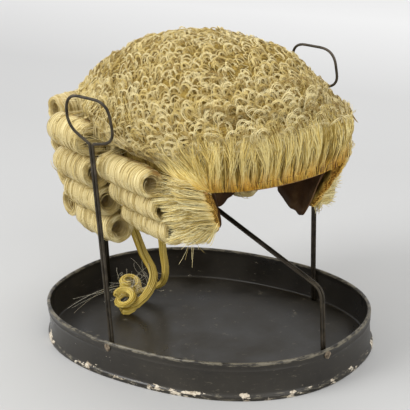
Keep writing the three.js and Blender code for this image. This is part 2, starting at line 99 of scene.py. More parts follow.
class Finish(Nodes):
    """A material with one Principled surface, patterned in the piece's own coordinates."""

    def __init__(self, name, rough, shine=0.5, metal=0.0):
        self.material = bpy.data.materials.new(name)
        self.material.use_nodes = True
        super().__init__(self.material.node_tree)
        self.tree.nodes.clear()
        output = self.node("ShaderNodeOutputMaterial")
        surface = self.node("ShaderNodeBsdfPrincipled", {
            "Roughness": rough, "Metallic": metal, "Specular IOR Level": shine})
        self.put(surface.outputs[0], output.inputs["Surface"])
        self.sockets = surface.inputs
        self.place = self.node("ShaderNodeTexCoord").outputs["Object"]

    def stretched(self, *scale, place=None):
        return self.out("ShaderNodeMapping", {0: place or self.place, 3: scale})

    def noise(self, scale, detail=3.0, place=None, rough=0.55):
        return self.out("ShaderNodeTexNoise", {
            "Vector": place or self.place, "Scale": scale, "Detail": detail, "Roughness": rough})

    def attribute(self, name):
        return self.node("ShaderNodeAttribute", attribute_name=name).outputs["Fac"]

    def ramp(self, value, *stops):
        """Colours by value. A stop is its place and its red, green and blue."""
        made_node = self.node("ShaderNodeValToRGB", {0: value})
        elements = made_node.color_ramp.elements
        while len(elements) < len(stops):
            elements.new(0.5)
        for element, (at, *colour) in zip(elements, stops):
            element.position = at
            element.color = (*colour, 1)
        return made_node.outputs[0]

    def mix(self, share, one, other):
        colours = [colour if isinstance(colour, bpy.types.NodeSocket) else (*colour, 1)
                   for colour in (one, other)]
        return self.node("ShaderNodeMix", {0: share, 6: colours[0], 7: colours[1]},
                         data_type="RGBA").outputs[2]

    def done(self, colour, rough=None, height=None, depth=0.0, strength=1.0):
        self.put(colour, self.sockets["Base Color"])
        if rough:
            self.put(rough, self.sockets["Roughness"])
        if height:
            bump = self.out("ShaderNodeBump", {
                "Height": height, "Distance": depth, "Strength": strength})
            self.put(bump, self.sockets["Normal"])
        return self.material


def hair_finish(name, deep, mid, pale, sewn=None):
    """Single hairs: each its own tint, painted shade at its root, amber as far as it is sewn."""
    hair = Finish(name, 0.42, 0.28)
    tint, along = hair.attribute("tint"), hair.attribute("along")
    colour = hair.ramp(tint, (0.08, *deep), (0.34, *mid), (0.68, *pale), (1, *pale))
    # Painted shade: each hair is darkened towards its root, where it goes down into the mass of
    # hair.
    colour = hair.mix(hair.grade(along, 0, 0.5, 0.2 if sewn else 0.5, 0), colour, deep)
    if sewn:
        stitch = hair.math("FRACT", hair.times(tint, 17.3))
        brown = hair.ramp(stitch, (0, 0.15, 0.05, 0.004), (0.32, 0.74, 0.35, 0.015),
                          (1, 0.98, 0.69, 0.13))
        colour = hair.mix(hair.grade(along, 0, sewn, 1, 0), colour, brown)
    patches = hair.grade(hair.noise(26, 2), 0.35, 0.7, 0, 0.32)
    return hair.done(hair.mix(patches, colour, mid))


def shaded_ground_finish(name, dark, light):
    """Hair mass under the single hairs, darkened as painted shade, amber where sewn to an edge."""
    ground = Finish(name, 0.8, 0.1)
    streaks = ground.noise(420, 4, ground.stretched(1, 1, 0.16))
    both = ground.sum(streaks, 0.5, ground.noise(150), 0.5)
    stitches = ground.noise(900, 2, ground.stretched(0.5, 0.5, 1.6))
    seam = ground.ramp(stitches, (0.38, 0.06, 0.021, 0.003), (0.5, 0.27, 0.115, 0.01),
                       (0.64, 0.58, 0.34, 0.07))
    # Painted shade: the hair's own colour, made much darker for the shade down among the hairs.
    colour = ground.ramp(both, (0.36, *dark), (0.66, *light))
    colour = ground.mix(ground.times(ground.attribute("amber"), 0.9), colour, seam)
    return ground.done(colour, None, both, 0.0016)


def roll_finish():
    """Wound hair: fine turns across the roll, painted shade in the bore, amber where sewn on."""
    roll = Finish("wound_hair", 0.36, 0.38)
    wound = roll.out("ShaderNodeUVMap", uv_map="wound")
    fine = roll.noise(1, 4, roll.stretched(150, 3, 1, place=wound), 0.7)
    bands = roll.noise(1, 3, roll.stretched(34, 2.2, 1, place=wound))
    both = roll.sum(fine, 0.6, bands, 0.4)
    colour = roll.ramp(both, (0.36, 0.17, 0.1, 0.018), (0.45, 0.56, 0.41, 0.13),
                       (0.57, 0.92, 0.79, 0.42))
    # Painted shade darkens the bore, more the deeper in; the amber is where the roll is sewn on.
    for mark, share, shade in (("inside", 0.62, (0.27, 0.17, 0.04)),
                               ("amber", 0.85, (0.26, 0.115, 0.014))):
        colour = roll.mix(roll.times(roll.attribute(mark), share), colour, shade)
    return roll.done(colour, roll.grade(fine, 0.3, 0.7, 0.28, 0.46), both, 0.0016)


def leather_finish():
    leather = Finish("cap_leather", 0.62, 0.3)
    cloudy = leather.noise(38, 5)
    grain = leather.out("ShaderNodeTexVoronoi", {"Vector": leather.place, "Scale": 900},
                        feature="DISTANCE_TO_EDGE")
    creases = leather.noise(60, 4, leather.stretched(1, 1, 3.2))
    scuffs = leather.grade(leather.noise(140, 4), 0.62, 0.75)
    colour = leather.ramp(cloudy, (0.3, 0.038, 0.015, 0.004), (0.55, 0.08, 0.034, 0.009),
                          (0.75, 0.17, 0.095, 0.036))
    colour = leather.mix(leather.times(scuffs, 0.3), colour, (0.22, 0.11, 0.05))
    height = leather.math("ADD", leather.times(grain, 0.35), creases)
    return leather.done(colour, leather.grade(cloudy, 0.3, 0.7, 0.5, 0.75), height, 0.0009, 0.8)


def binding_finish():
    ribbon = Finish("amber_binding", 0.6)
    ribbon.put(0.1, ribbon.sockets["Sheen Weight"])
    threads = ribbon.noise(1100, 2, ribbon.stretched(1, 1, 0.12))
    both = ribbon.sum(ribbon.noise(90, 4), 0.4, threads, 0.6)
    colour = ribbon.ramp(both, (0.36, 0.1, 0.04, 0.006), (0.5, 0.3, 0.135, 0.022),
                         (0.64, 0.58, 0.34, 0.1))
    return ribbon.done(colour, None, threads, 0.0008)


def wire_finish():
    wire = Finish("dark_wire", 0.45, metal=0.55)
    mottled = wire.noise(160, 4)
    rubbed = wire.grade(wire.noise(34, 5), 0.56, 0.68)
    colour = wire.ramp(mottled, (0.35, 0.018, 0.014, 0.008), (0.65, 0.062, 0.049, 0.031))
    colour = wire.mix(wire.times(rubbed, 0.45), colour, (0.17, 0.14, 0.11))
    return wire.done(colour, wire.grade(mottled, 0.3, 0.7, 0.34, 0.6), mottled, 0.0003, 0.6)


def solder_finish():
    lump = Finish("old_solder", 0.5, metal=0.7)
    mottled = lump.noise(300, 4)
    colour = lump.ramp(mottled, (0.35, 0.1, 0.075, 0.05), (0.6, 0.34, 0.27, 0.19),
                       (0.75, 0.5, 0.42, 0.32))
    return lump.done(colour, None, mottled, 0.0006)


def japan_finish():
    """Black japan on tin: chips along the foot bead and the rim show the tan priming and tin."""
    japan = Finish("black_japan", 0.32)
    clouds = japan.noise(24, 5)
    specks = japan.noise(230, 6, rough=0.7)
    flakes = japan.noise(75, 6, rough=0.62)
    marks = japan.noise(210, 4, japan.stretched(0.5, 0.5, 2.2), 0.7)
    wear = japan.times(japan.attribute("wear"), 0.22)
    rim = japan.times(japan.attribute("rim"), 0.2)
    cover = japan.sum(flakes, 0.6, marks, 0.4)
    chipped = japan.grade(japan.math("ADD", cover, wear), 0.655, 0.67)
    rubbed = japan.grade(japan.math("ADD", marks, rim), 0.63, 0.76)
    dust = japan.grade(specks, 0.58, 0.74)
    pale = japan.ramp(specks, (0.35, 0.22, 0.16, 0.095), (0.5, 0.58, 0.5, 0.38),
                      (0.65, 0.74, 0.68, 0.56))
    colour = japan.ramp(clouds, (0.3, 0.0095, 0.0073, 0.0045), (0.7, 0.026, 0.0215, 0.0145))
    colour = japan.mix(japan.times(dust, 0.25), colour, (0.1, 0.088, 0.065))
    colour = japan.mix(japan.times(rubbed, 0.7), colour, (0.21, 0.185, 0.13))
    colour = japan.mix(chipped, colour, pale)
    height = japan.math("SUBTRACT", japan.times(clouds, 0.4), chipped)
    return japan.done(colour, japan.grade(clouds, 0.3, 0.7, 0.24, 0.5), height, 0.0003, 0.7)


def floor_finish():
    """Pale paper, with painted light: brighter behind the stand than in front of it."""
    paper = Finish("pale_floor", 0.9)
    far = paper.node("ShaderNodeSeparateXYZ", {0: paper.place}).outputs[1]
    # Painted light: brighter far behind, to make up for the lamps' light falling off there.
    return paper.done(paper.ramp(
        paper.grade(far, -1, 4), (0, 0.47, 0.47, 0.458), (0.3, 0.5, 0.5, 0.497),
        (0.36, 0.55, 0.55, 0.548), (0.46, 0.8, 0.8, 0.8), (1, 0.9, 0.9, 0.9)))


HAIR = hair_finish("straw_hair", (0.29, 0.185, 0.042), (0.74, 0.575, 0.205), (0.9, 0.785, 0.44))
COMBED = hair_finish("combed_hair", (0.33, 0.21, 0.032), (0.84, 0.635, 0.175),
                     (0.97, 0.84, 0.4), sewn=0.44)
# The laid hair is painted paler than the combed hair, as painted light for the slant-lit flaps.
LAID_PAINTED_LIGHT = hair_finish("laid_hair", (0.42, 0.29, 0.065), (0.93, 0.75, 0.29), (0.99, 0.9, 0.53),
                   sewn=0.2)
TAIL_HAIR = hair_finish("tail_hair", (0.36, 0.22, 0.02), (0.72, 0.52, 0.085), (0.9, 0.73, 0.23))
PALE_HAIR = hair_finish("stray_hair", (0.62, 0.5, 0.25), (0.85, 0.75, 0.5), (0.95, 0.9, 0.72))
# The grounds are painted dark, as the shade under the single hairs.
SHADED_GROUND = shaded_ground_finish("hair_ground", (0.055, 0.032, 0.005), (0.38, 0.26, 0.06))
SHADED_COMBED_GROUND = shaded_ground_finish("combed_ground", (0.085, 0.048, 0.007), (0.46, 0.32, 0.075))
WOUND = roll_finish()
LEATHER = leather_finish()
BINDING = binding_finish()
WIRE = wire_finish()
SOLDER = solder_finish()
JAPAN = japan_finish()

# Pieces


def linked(name, data):
    piece = bpy.data.objects.new(name, data)
    bpy.context.scene.collection.objects.link(piece)
    return piece


def finished(piece, slot, *replaces):
    """Every piece rides on the one body and hides what it replaces. Its slot is not used."""
    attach(piece, "root")
    if replaces:
        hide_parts(*replaces)
    return piece


def smooth(piece):
    piece.data.polygons.foreach_set("use_smooth", [True] * len(piece.data.polygons))
    return piece


def made(name, vertices, faces, material):
    mesh = bpy.data.meshes.new(name)
    mesh.from_pydata([tuple(v) for v in vertices], [], faces)
    mesh.validate()
    mesh.materials.append(material)
    return smooth(linked(name, mesh))


def marked(piece, **marks):
    """Stores values of the vertices under names that the finish reads."""
    for name, values in marks.items():
        piece.data.attributes.new(name, "FLOAT", "POINT").data.foreach_set("value", values)
    return piece


def outward(piece):
    shape = bmesh.new()
    shape.from_mesh(piece.data)
    bmesh.ops.recalc_face_normals(shape, faces=shape.faces)
    shape.to_mesh(piece.data)
    shape.free()
    return piece


def baked(piece):
    """The piece with its modifiers worked into its mesh."""
    graph = bpy.context.evaluated_depsgraph_get()
    mesh = bpy.data.meshes.new_from_object(piece.evaluated_get(graph), depsgraph=graph)
    piece.modifiers.clear()
    old, piece.data = piece.data, mesh
    mesh.name = piece.name
    bpy.data.meshes.remove(old)
    return smooth(piece)


def refined(name, node, levels, material):
    """A copy of a node's mesh with its corners joined and its faces made finer."""
    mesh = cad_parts[node].data.copy()
    mesh.name = name
    mesh.materials.clear()
    shape = bmesh.new()
    shape.from_mesh(mesh)
    bmesh.ops.remove_doubles(shape, verts=shape.verts, dist=0.02 * MM)
    bmesh.ops.dissolve_limit(shape, angle_limit=0.002, verts=shape.verts, edges=shape.edges)
    shape.to_mesh(mesh)
    shape.free()
    piece = linked(name, mesh)
    step = piece.modifiers.new("Finer", "SUBSURF")
    step.levels = step.render_levels = levels
    piece = baked(piece)
    piece.data.materials.append(material)
    return piece


def roughened(piece, depth, size, seed, inward=0.35):
    """Moves the surface in and out by a smooth noise, more inwards than outwards."""
    mesh = piece.data
    normals = [v.normal.copy() for v in mesh.vertices]
    shift = Vector((seed * 7.3, seed * 3.1, seed))
    for vertex, normal in zip(mesh.vertices, normals):
        value = noise.fractal(vertex.co / (size * MM) + shift, 1.0, 2.0, 3)
        vertex.co += normal * (depth * MM) * (value - inward)
    mesh.update()
    return piece


def ring_faces(first, rings, sides, closed=False):
    """The faces from each ring of points to the next, and back to the first if closed."""
    faces = []
    for k in range(rings if closed else rings - 1):
        here, there = first + k * sides, first + (k + 1) % rings * sides
        for j in range(sides):
            side = (j + 1) % sides
            faces.append((here + j, here + side, there + side, there + j))
    return faces


def sheet(name, front, back, rows, material):
    """A closed sheet: its front and back are grids of points, in columns of so many rows."""
    count, last, faces = len(front), len(front) - rows, []
    for first in range(0, last, rows):
        for a in range(first, first + rows - 1):
            b = a + rows
            faces += [(a, b, b + 1, a + 1), (count + a, count + a + 1, count + b + 1, count + b)]
        for a in (first, first + rows - 1):
            faces.append((a, a + count, a + rows + count, a + rows))
    for k in range(rows - 1):
        for a in (k, last + k):
            faces.append((a, a + count, a + count + 1, a + 1))
    return outward(made(name, front + back, faces, material))


def tube(name, runs, sides, material, hair=False):
    """Tubes along centre lines as one piece. A run is its points, their radii and its tint."""
    vertices, faces, tints, alongs = [], [], [], []
    for points, radii, tint in runs:
        first, last = len(vertices), len(points) - 1
        normal = None
        for i, (point, radius) in enumerate(zip(points, radii)):
            ahead = (points[min(i + 1, last)] - points[max(i - 1, 0)]).normalized()
            if normal is None:
                normal = ahead.orthogonal().normalized()
            normal = (normal - ahead * normal.dot(ahead)).normalized()
            beside = ahead.cross(normal)
            for j in range(sides):
                angle = j / sides * tau
                vertices.append(point + (normal * cos(angle) + beside * sin(angle)) * radius)
            tints += [tint] * sides
            alongs += [i / last] * sides
        faces += ring_faces(first, len(points), sides)
        faces.append(tuple(range(first + sides - 1, first - 1, -1)))
        faces.append(tuple(range(first + last * sides, first + (last + 1) * sides)))
    piece = made(name, vertices, faces, material)
    return marked(piece, tint=tints, along=alongs) if hair else piece


def hairs(name, runs, material=None, *replaces):
    """Three-sided hairs as one piece."""
    return finished(tube(name, runs, 3, material or HAIR, True), "horsehair", *replaces)


# Measures


def ease(value, low, high):
    share = min(1.0, max(0.0, (value - low) / (high - low)))
    return share * share * (3 - 2 * share)


def blend(one, other, share):
    return one + (other - one) * share


def bow(start, middle, end, t):
    return start * (1 - t) ** 2 + middle * 2 * t * (1 - t) + end * t * t


def uneven(x, y, z):
    return noise.noise(Vector((x, y, z)))


def on_wig(centre):
    """A place in the wig's own frame, and its turn round the head."""
    place = WIG.inverted() @ centre
    return place, degrees(atan2(place.y, place.x - AXIS * MM))


def faces_out(centre, normal):
    return normal.dot(centre - HEAD_MIDDLE) > 0.2 * (centre - HEAD_MIDDLE).length


def ridge_level(turn):
    """The height of the ridge where the combed hair ends and the rings begin."""
    return 220 - 8 * ease(turn, 8, 40) - 2 * ease(-turn, 20, 45)


def front_turn(side, height):
    """The turn at which the front edge of a flap stands."""
    if side < 0:
        return -blend(31.6, 35.2, ease(height, 141, 178)) - 4.5 * ease(height, 147, 137)
    return blend(37.2, 34.9, ease(height, 129, 178))


def smooth_run(points, steps):
    """Points on a smooth curve through given points."""
    out, last = [], len(points) - 1
    for i in range(last):
        before, here, there, after = (points[min(max(k, 0), last)] for k in range(i - 1, i + 3))
        for k in range(steps):
            t = k / steps
            out.append(0.5 * ((2 * here) + (there - before) * t
                              + (2 * before - 5 * here + 4 * there - after) * t * t
                              + (3 * here - before - 3 * there + after) * t ** 3))
    out.append(points[-1])
    return out


def skin(pieces):
    """The outermost surface of some pieces, for hairs to be laid on."""
    vertices, faces = [], []
    for piece in pieces:
        first = len(vertices)
        vertices += [v.co.copy() for v in piece.data.vertices]
        faces += [[first + i for i in face.vertices] for face in piece.data.polygons]
    return BVHTree.FromPolygons(vertices, faces)


def laid(scalp, steps, place):
    """The points of a hair laid on a scalp, which rays to the axis of the head meet.

    At a share of the length, place gives the turn, the height and the distance out. Past
    the edge of the scalp a hair keeps its distance from the axis.
    """
    rows = []
    for i in range(steps):
        turn, height, out = place(i / (steps - 1))
        way = WIG_TURN @ Vector((cos(radians(turn)), sin(radians(turn)), 0))
        axis = WIG @ Vector((AXIS * MM, 0, height * MM))
        hit = scalp.ray_cast(axis + way * OUTSIDE, -way)[0]
        reach = (hit - axis).dot(way) if hit is not None else 0.0
        rows.append([axis, way, reach if reach > INSIDE else None, out * MM])
    for row, before in zip(rows[1:], rows):
        row[2] = row[2] or before[2]
    for row, after in zip(rows[-2::-1], rows[::-1]):
        row[2] = row[2] or after[2]
    if rows[0][2] is None:
        return None
    return [axis + way * (reach + out) for axis, way, reach, out in rows]


def lay(runs, scalp, steps, place, chance, radius=0.21, tint=None, tip=0.45):
    """Adds a hair laid on a scalp to the runs, with a tint of its own and a thin tip."""
    points = laid(scalp, steps, place)
    if points:
        radii = [radius * MM] * (steps - 1) + [tip * radius * MM]
        runs.append((points, radii, chance.random() if tint is None else tint))


# Rings of hair

FRIZZ_RINGS = 11800.0  # in a layer of the crown, on a square metre
RING_RADIUS = 3.85 * MM
RING_THICKNESS = 0.21 * MM  # the radius of a hair of a ring
# The four shapes of ring: where the arc starts, how far it sweeps, its size, how high it rises
# and how long its legs are. Each ring has three hairs: their size, and how far they shift.
RING_SHAPES = ((1.25, 3.8, 1.0, 0.5, 1.1), (1.45, 3.4, 0.85, 0.7, 1.5),
               (1.0, 4.3, 0.95, 0.4, 0.6), (1.6, 3.1, 1.15, 0.6, 1.8))
RING_HAIRS = ((1.06, 0.0), (0.95, -0.1), (0.82, 0.08))


class Tree(Nodes):
    """A Geometry Nodes tree with named inputs."""

    def __init__(self, name):
        super().__init__(bpy.data.node_groups.new(name, "GeometryNodeTree"))
        for way in ("INPUT", "OUTPUT"):
            self.tree.interface.new_socket("Geometry", in_out=way,
                                           socket_type="NodeSocketGeometry")
        self.given = self.node("NodeGroupInput")
        self.result = self.node("NodeGroupOutput")
        self.keys = {}

    def input(self, name, kind):
        socket = self.tree.interface.new_socket(name, in_out="INPUT",
                                                socket_type="NodeSocket" + kind)
        self.keys[name] = socket.identifier
        return self.given.outputs[name]

    def random(self, low, high, seed, salt):
        first, out = (0, 0) if isinstance(low, tuple) else (2, 1)
        return self.node("FunctionNodeRandomValue", {
            first: low, first + 1: high, 8: self.math("ADD", seed, salt)},
            data_type="FLOAT" if out else "FLOAT_VECTOR").outputs[out]

    def stored(self, geometry, name, value):
        return self.out("GeometryNodeStoreNamedAttribute", {
            "Geometry": geometry, "Name": name, "Value": value}, data_type="FLOAT")

    def hair(self, curve, along, thickness):
        """A three-sided hair along a curve, which tapers to its tip."""
        return self.out("GeometryNodeCurveToMesh", {
            "Curve": self.stored(curve, "along", along), "Fill Caps": True,
            "Profile Curve": self.out("GeometryNodeCurvePrimitiveCircle", {
                "Resolution": 3, "Radius": thickness}),
            "Scale": self.grade(along, 0.55, 1, 1, 0.35)})


def frizz_tree():
    """Small open rings of hair that lie on a surface and turn over away from the whorl."""
    tree = Tree("frizzed_hair")
    density, seed, ring, thickness, whorl, material = (tree.input(name, kind) for name, kind in (
        ("Rings per square metre", "Float"), ("Seed", "Int"), ("Ring radius", "Float"),
        ("Hair radius", "Float"), ("Whorl", "Vector"), ("Finish", "Material")))
    along = tree.node("GeometryNodeSplineParameter").outputs["Factor"]
    hump = tree.times(tree.math("SINE", tree.times(along, pi)), ring)
    from_top = tree.math("ABSOLUTE", tree.math("SUBTRACT", tree.times(along, 2), 1))
    trail = tree.math("POWER", from_top, 3)
    kinds = tree.node("GeometryNodeJoinGeometry")
    for start, sweep, size, lift, leg in RING_SHAPES:
        rings = tree.node("GeometryNodeJoinGeometry")
        for share, shift in RING_HAIRS:
            arc = tree.out("GeometryNodeCurveArc", {
                "Resolution": 8, "Radius": tree.times(ring, size * share),
                "Start Angle": start - 2 * shift, "Sweep Angle": sweep}, mode="RADIUS")
            offset = tree.out("ShaderNodeCombineXYZ", {
                0: tree.times(tree.times(trail, leg), ring), 2: tree.times(hump, lift + shift)})
            arc = tree.out("GeometryNodeSetPosition", {"Geometry": arc, "Offset": offset})
            tree.put(tree.hair(arc, along, thickness), rings.inputs[0])
        tree.put(tree.out("GeometryNodeGeometryToInstance", {0: rings.outputs[0]}),
                 kinds.inputs[0])
    points = tree.node("GeometryNodeDistributePointsOnFaces", {
        "Mesh": tree.given.outputs[0], "Density": density, "Seed": seed},
        distribute_method="RANDOM")
    heading = tree.out("ShaderNodeVectorMath", {
        0: tree.out("GeometryNodeInputPosition"), 1: whorl}, operation="SUBTRACT")
    upright = tree.out("FunctionNodeAlignRotationToVector", {
        "Vector": points.outputs["Normal"]}, axis="Z")
    headed = tree.out("FunctionNodeAlignRotationToVector", {
        "Rotation": upright, "Vector": heading}, axis="X", pivot_axis="Z")
    tilt = tree.out("FunctionNodeEulerToRotation", {
        0: tree.random((-0.35, -0.1, -0.6), (0.35, 0.5, 0.6), seed, 3)})
    turned = tree.out("FunctionNodeRotateRotation", {
        "Rotation": headed, "Rotate By": tilt}, rotation_space="LOCAL")
    pick = tree.node("FunctionNodeRandomValue", {
        4: 0, 5: len(RING_SHAPES) - 1, 8: seed}, data_type="INT").outputs[2]
    tinted = tree.stored(points.outputs["Points"], "tint", tree.random(0.0, 1.0, seed, 5))
    tufts = tree.out("GeometryNodeInstanceOnPoints", {
        "Points": tinted, "Instance": kinds.outputs[0], "Pick Instance": True,
        "Instance Index": pick, "Rotation": turned, "Scale": tree.random(0.7, 1.3, seed, 7)})
    real = tree.out("GeometryNodeRealizeInstances", {0: tufts})
    done = tree.out("GeometryNodeSetMaterial", {"Geometry": real, "Material": material})
    tree.put(done, tree.result.inputs[0])
    return tree


FRIZZ = frizz_tree()


def frizzed(name, surface, density, seed, ring, thickness):
    """Rings of frizzed hair that grow on a surface, as a plain mesh."""
    piece = linked(name, surface.copy())
    step = piece.modifiers.new("Hair", "NODES")
    step.node_group = FRIZZ.tree
    for key, value in {"Rings per square metre": density, "Seed": seed, "Ring radius": ring,
                       "Hair radius": thickness, "Whorl": WHORL, "Finish": HAIR}.items():
        step[FRIZZ.keys[key]] = value
    return finished(baked(piece), "horsehair")


def outer_part(surface, keep):
    """The faces of a surface that a test keeps, for rings of hair to grow on."""
    shape = bmesh.new()
    shape.from_mesh(surface.data)
    lost = [face for face in shape.faces if not keep(face.calc_center_median(), face.normal)]
    bmesh.ops.delete(shape, geom=lost, context="FACES")
    mesh = bpy.data.meshes.new("outer_part")
    shape.to_mesh(mesh)
    shape.free()
    return mesh


def ringed(centre, normal):
    """Whether rings grow here: not where the hair is combed down to the front corners."""
    turn = abs(on_wig(centre)[1])
    edge = 217 - 0.5 * (turn - 33) + 4 * noise.noise(centre / (9 * MM))
    return faces_out(centre, normal) and not (33 < turn < 70 and centre.z < edge * MM)


def on_ridge(centre, normal):
    place, turn = on_wig(centre)
    level = ridge_level(turn) + 4 * uneven(turn * 0.14, 0, 5) - 2
    level -= 13 * ease(abs(turn), 34, 46)
    return faces_out(centre, normal) and place.z / MM > level


def frizz(crown):
    """Three layers of rings over the crown."""
    outside = outer_part(crown, ringed)
    for index in range(3):
        frizzed(f"crown_frizz_{index + 1}", outside, FRIZZ_RINGS, 11 + 7 * index, RING_RADIUS,
                RING_THICKNESS)


# The wig

# How many hairs there are of each kind.
FLOWING_HAIRS = 1400
FRONT_HAIRS = 2150
CORNER_HAIRS = 1250  # fanned out from the ends of the front edge
RIDGE_LOOPS = 210
FLAP_HAIRS = 1150
HANGING_HAIRS = {-1: 190, 1: 60}  # at the low corner of the right and the left flap
SIDE_HAIRS = 600
NAPE_HAIRS = 690
TURNS_ON_ROLL = 32
TURNS_IN_MOUTH = 12
TAIL_HAIRS = 84
TRAY_HAIRS = 4
CROWN_FLYAWAYS = 360
FLAP_FLYAWAYS = 7

EDGE_HEIGHT = 179.3  # of the front edge, where the combed hair is sewn on


def drawn_in(base):
    """Draws the crown in above the ridge, so that the ridge stands proud of it."""
    for vertex in base.data.vertices:
        place, turn = on_wig(vertex.co)
        level = place.z / MM - ridge_level(turn)
        depth = blend(blend(3, 13, ease(turn, 8, 30)), 5.5, ease(abs(turn), 75, 105))
        far = ease(turn, 20, 60) * ease(180 - turn, 20, 60)
        depth *= ease(level, 1, 13) * (1 - ease(level, blend(32, 47, far), blend(52, 61, far)))
        reach = Vector((place.x - AXIS * MM, place.y, 0))
        vertex.co -= (WIG_TURN @ reach.normalized()) * min(depth * MM, 0.5 * reach.length)
    base.data.update()


def ground(name, node, levels, material, rough=None, slot="horsehair", high=False):
    """A node made finer and uneven, drawn in above the ridge if it reaches that high."""
    base = refined(name, node, levels, material)
    if high:
        drawn_in(base)
    if rough:
        roughened(base, *rough)
    return finished(base, slot, node)


def temple(word):
    """The hair over a flap, amber where its edge looks forward."""
    base = ground(f"temple_{word}_ground", f"temple_lock_{word}", 2, SHADED_COMBED_GROUND, (1.2, 7, 3))
    forward = WIG_TURN @ Vector((1, 0, 0))
    return marked(base, amber=[
        max(0.0, min(1.0, 2.4 * v.normal.dot(forward) - 0.7)) if v.co.z < 180 * MM else 0.0
        for v in base.data.vertices])


def ridge_cover(scalp):
    """Hair that bridges the step between the combed hair and the crown, with rings on it."""
    columns, rows = 71, 17
    axis = WIG @ Vector((AXIS * MM, 0, 0))
    front, back = [], []
    for i in range(columns):
        turn = blend(-70, 70, i / (columns - 1))
        start = ridge_level(turn) - 5 - 13 * ease(abs(turn), 34, 46)

        def place(t):
            return turn, start + 40 * t, 0.0

        points = [on_wig(p)[0] for p in laid(scalp, rows, place)]
        reach = [hypot(p.x - AXIS * MM, p.y) for p in points]
        for _ in range(3):
            reach[1:-1] = [max(here, (before + here + after) / 3)
                           for before, here, after in zip(reach, reach[1:], reach[2:])]
        side = ease(min(i, columns - 1 - i), 0, 5)
        for k, (point, out) in enumerate(zip(points, reach)):
            out += blend(-2.5, 0.9, side * ease(min(k, rows - 1 - k), 0, 3)) * MM
            point = WIG @ Vector((AXIS * MM + out * cos(radians(turn)),
                                  out * sin(radians(turn)), point.z))
            inward = Vector((axis.x - point.x, axis.y - point.y, 0)).normalized()
            front.append(point)
            back.append(point + inward * 3 * MM)
    cover = roughened(sheet("ridge_ground", front, back, rows, SHADED_GROUND), 1.6, 7, 6)
    finished(cover, "horsehair")
    frizzed("ridge_frizz", outer_part(cover, on_ridge), 2.7 * FRIZZ_RINGS, 41,
            1.3 * RING_RADIUS, 0.22 * MM)
    return cover


def flowing(scalp):
    """Finer wavy hairs that run down from the whorl between the rings."""
    chance, runs = Random(17), []
    for _ in range(FLOWING_HAIRS):
        turn = chance.uniform(-180, 180)
        share = chance.random() ** 0.8
        edge = 228 if abs(turn) < 40 else (207 if abs(turn) < 100 else 216)
        high = blend(269, edge + 2, share)
        drop = chance.uniform(7, 13) * blend(0.35, 1, ease(share, 0, 0.6))
        twist = chance.gauss(0, 5)
        wave = chance.uniform(0, tau)
        up = chance.uniform(0.2, 2.2)

        def place(t):
            drift = twist * t + 2.2 * sin(wave + 6 * t)
            return turn + drift, high - drop * t, up * sin(0.4 + 2.5 * t)

        lay(runs, scalp, 7, place, chance)
    hairs("crown_flowing", runs)


def forepart_locks(scalp):
    """Straight hairs sewn along the front edge and combed up to the ridge, in locks."""
    chance, runs = Random(5), []
    for _ in range(FRONT_HAIRS):
        root = chance.uniform(-37, 37)
        fine = chance.random() < 0.4
        width = 1.7 if fine else 4.3
        lock = floor(root / width + 0.9 * uneven(root * 0.16, 4, width))
        centre = (lock + 0.5) * width + 1.5 * uneven(lock * 1.7, 0, width)
        away = min(1.0, abs(root - centre) / (0.55 * width))
        far = ease(root, 14, 30)
        proud = (0.8 if fine else 3.2) * (1 - away * away) + 1.5 * uneven(lock * 2.3, 8, width)
        proud = blend(proud, 0.4 * proud - 1.6, far)
        depth = chance.uniform(-1.6, 0.9) + 1.6 * far
        top = ridge_level(root) + chance.gauss(1, 4.5)
        over = 8.0 * chance.random() ** 2
        pull = chance.uniform(0.45, 1.1)
        sway = chance.gauss(0, 1.3) + 2.2 * uneven(lock * 0.9, 3, width)
        wave = chance.uniform(0, tau)
        bend = 9 * uneven(lock * 3.1, 6, width)
        low = chance.uniform(0, 0.6)
        tint = 1.1 * chance.random() - 0.1 + 0.8 * uneven(lock * 1.3, 2, width)

        def place(t):
            turn = (blend(root, centre, pull * sin(pi * min(1.0, t * 1.15)) ** 0.8)
                    + sway * t * t + (0.5 * sin(wave + 8 * t) + 0.9 * sin(bend + 6.5 * t)) * t)
            out = (low + depth * t + 1.5 * t ** 1.5 + proud * sin(pi * t)
                   + 0.4 * sin(1.3 * wave + 7 * t) * t - over * ease(t, 0.8, 1))
            return turn, blend(EDGE_HEIGHT, top + 0.8 * over, t), out

        lay(runs, scalp, 8, place, chance, 0.23, min(1.0, max(0.0, tint)))
    for _ in range(CORNER_HAIRS):
        side = chance.choice((-1, 1))
        share = chance.random()
        tip = blend(32, 66, share ** 1.2)
        top = ridge_level(side * 45) - 17 * share + chance.gauss(1, 4.5)
        start = chance.uniform(34, 36.2)
        lock = floor(tip / 3.2)
        depth = chance.uniform(-0.8, 1.4) + 1.6 * uneven(lock * 1.9, side, 2)
        wave = chance.uniform(0, tau)
        middle = (lock + 0.5) * 3.2
        pull = chance.uniform(0.2, 0.9)
        bulge = 1.8 if side < 0 else -1.5

        def place(t):
            turn = blend(start, blend(tip, middle, pull * (1 - t * t)), t ** (1 - 0.25 * share))
            turn += (0.7 * sin(wave + 8 * t) + 1.3 * sin(lock * 2.4 + 6 * t)) * t
            height = blend(EDGE_HEIGHT + 0.3, top, t ** (1 + 0.15 * share))
            out = 0.5 + depth * sin(1.9 * t) + bulge * sin(pi * t)
            return side * turn, height + 0.7 * sin(wave + 7 * t), out

        lay(runs, scalp, 7, place, chance, 0.24, 0.85 * chance.random())
    hairs("forepart_combed", runs, COMBED)


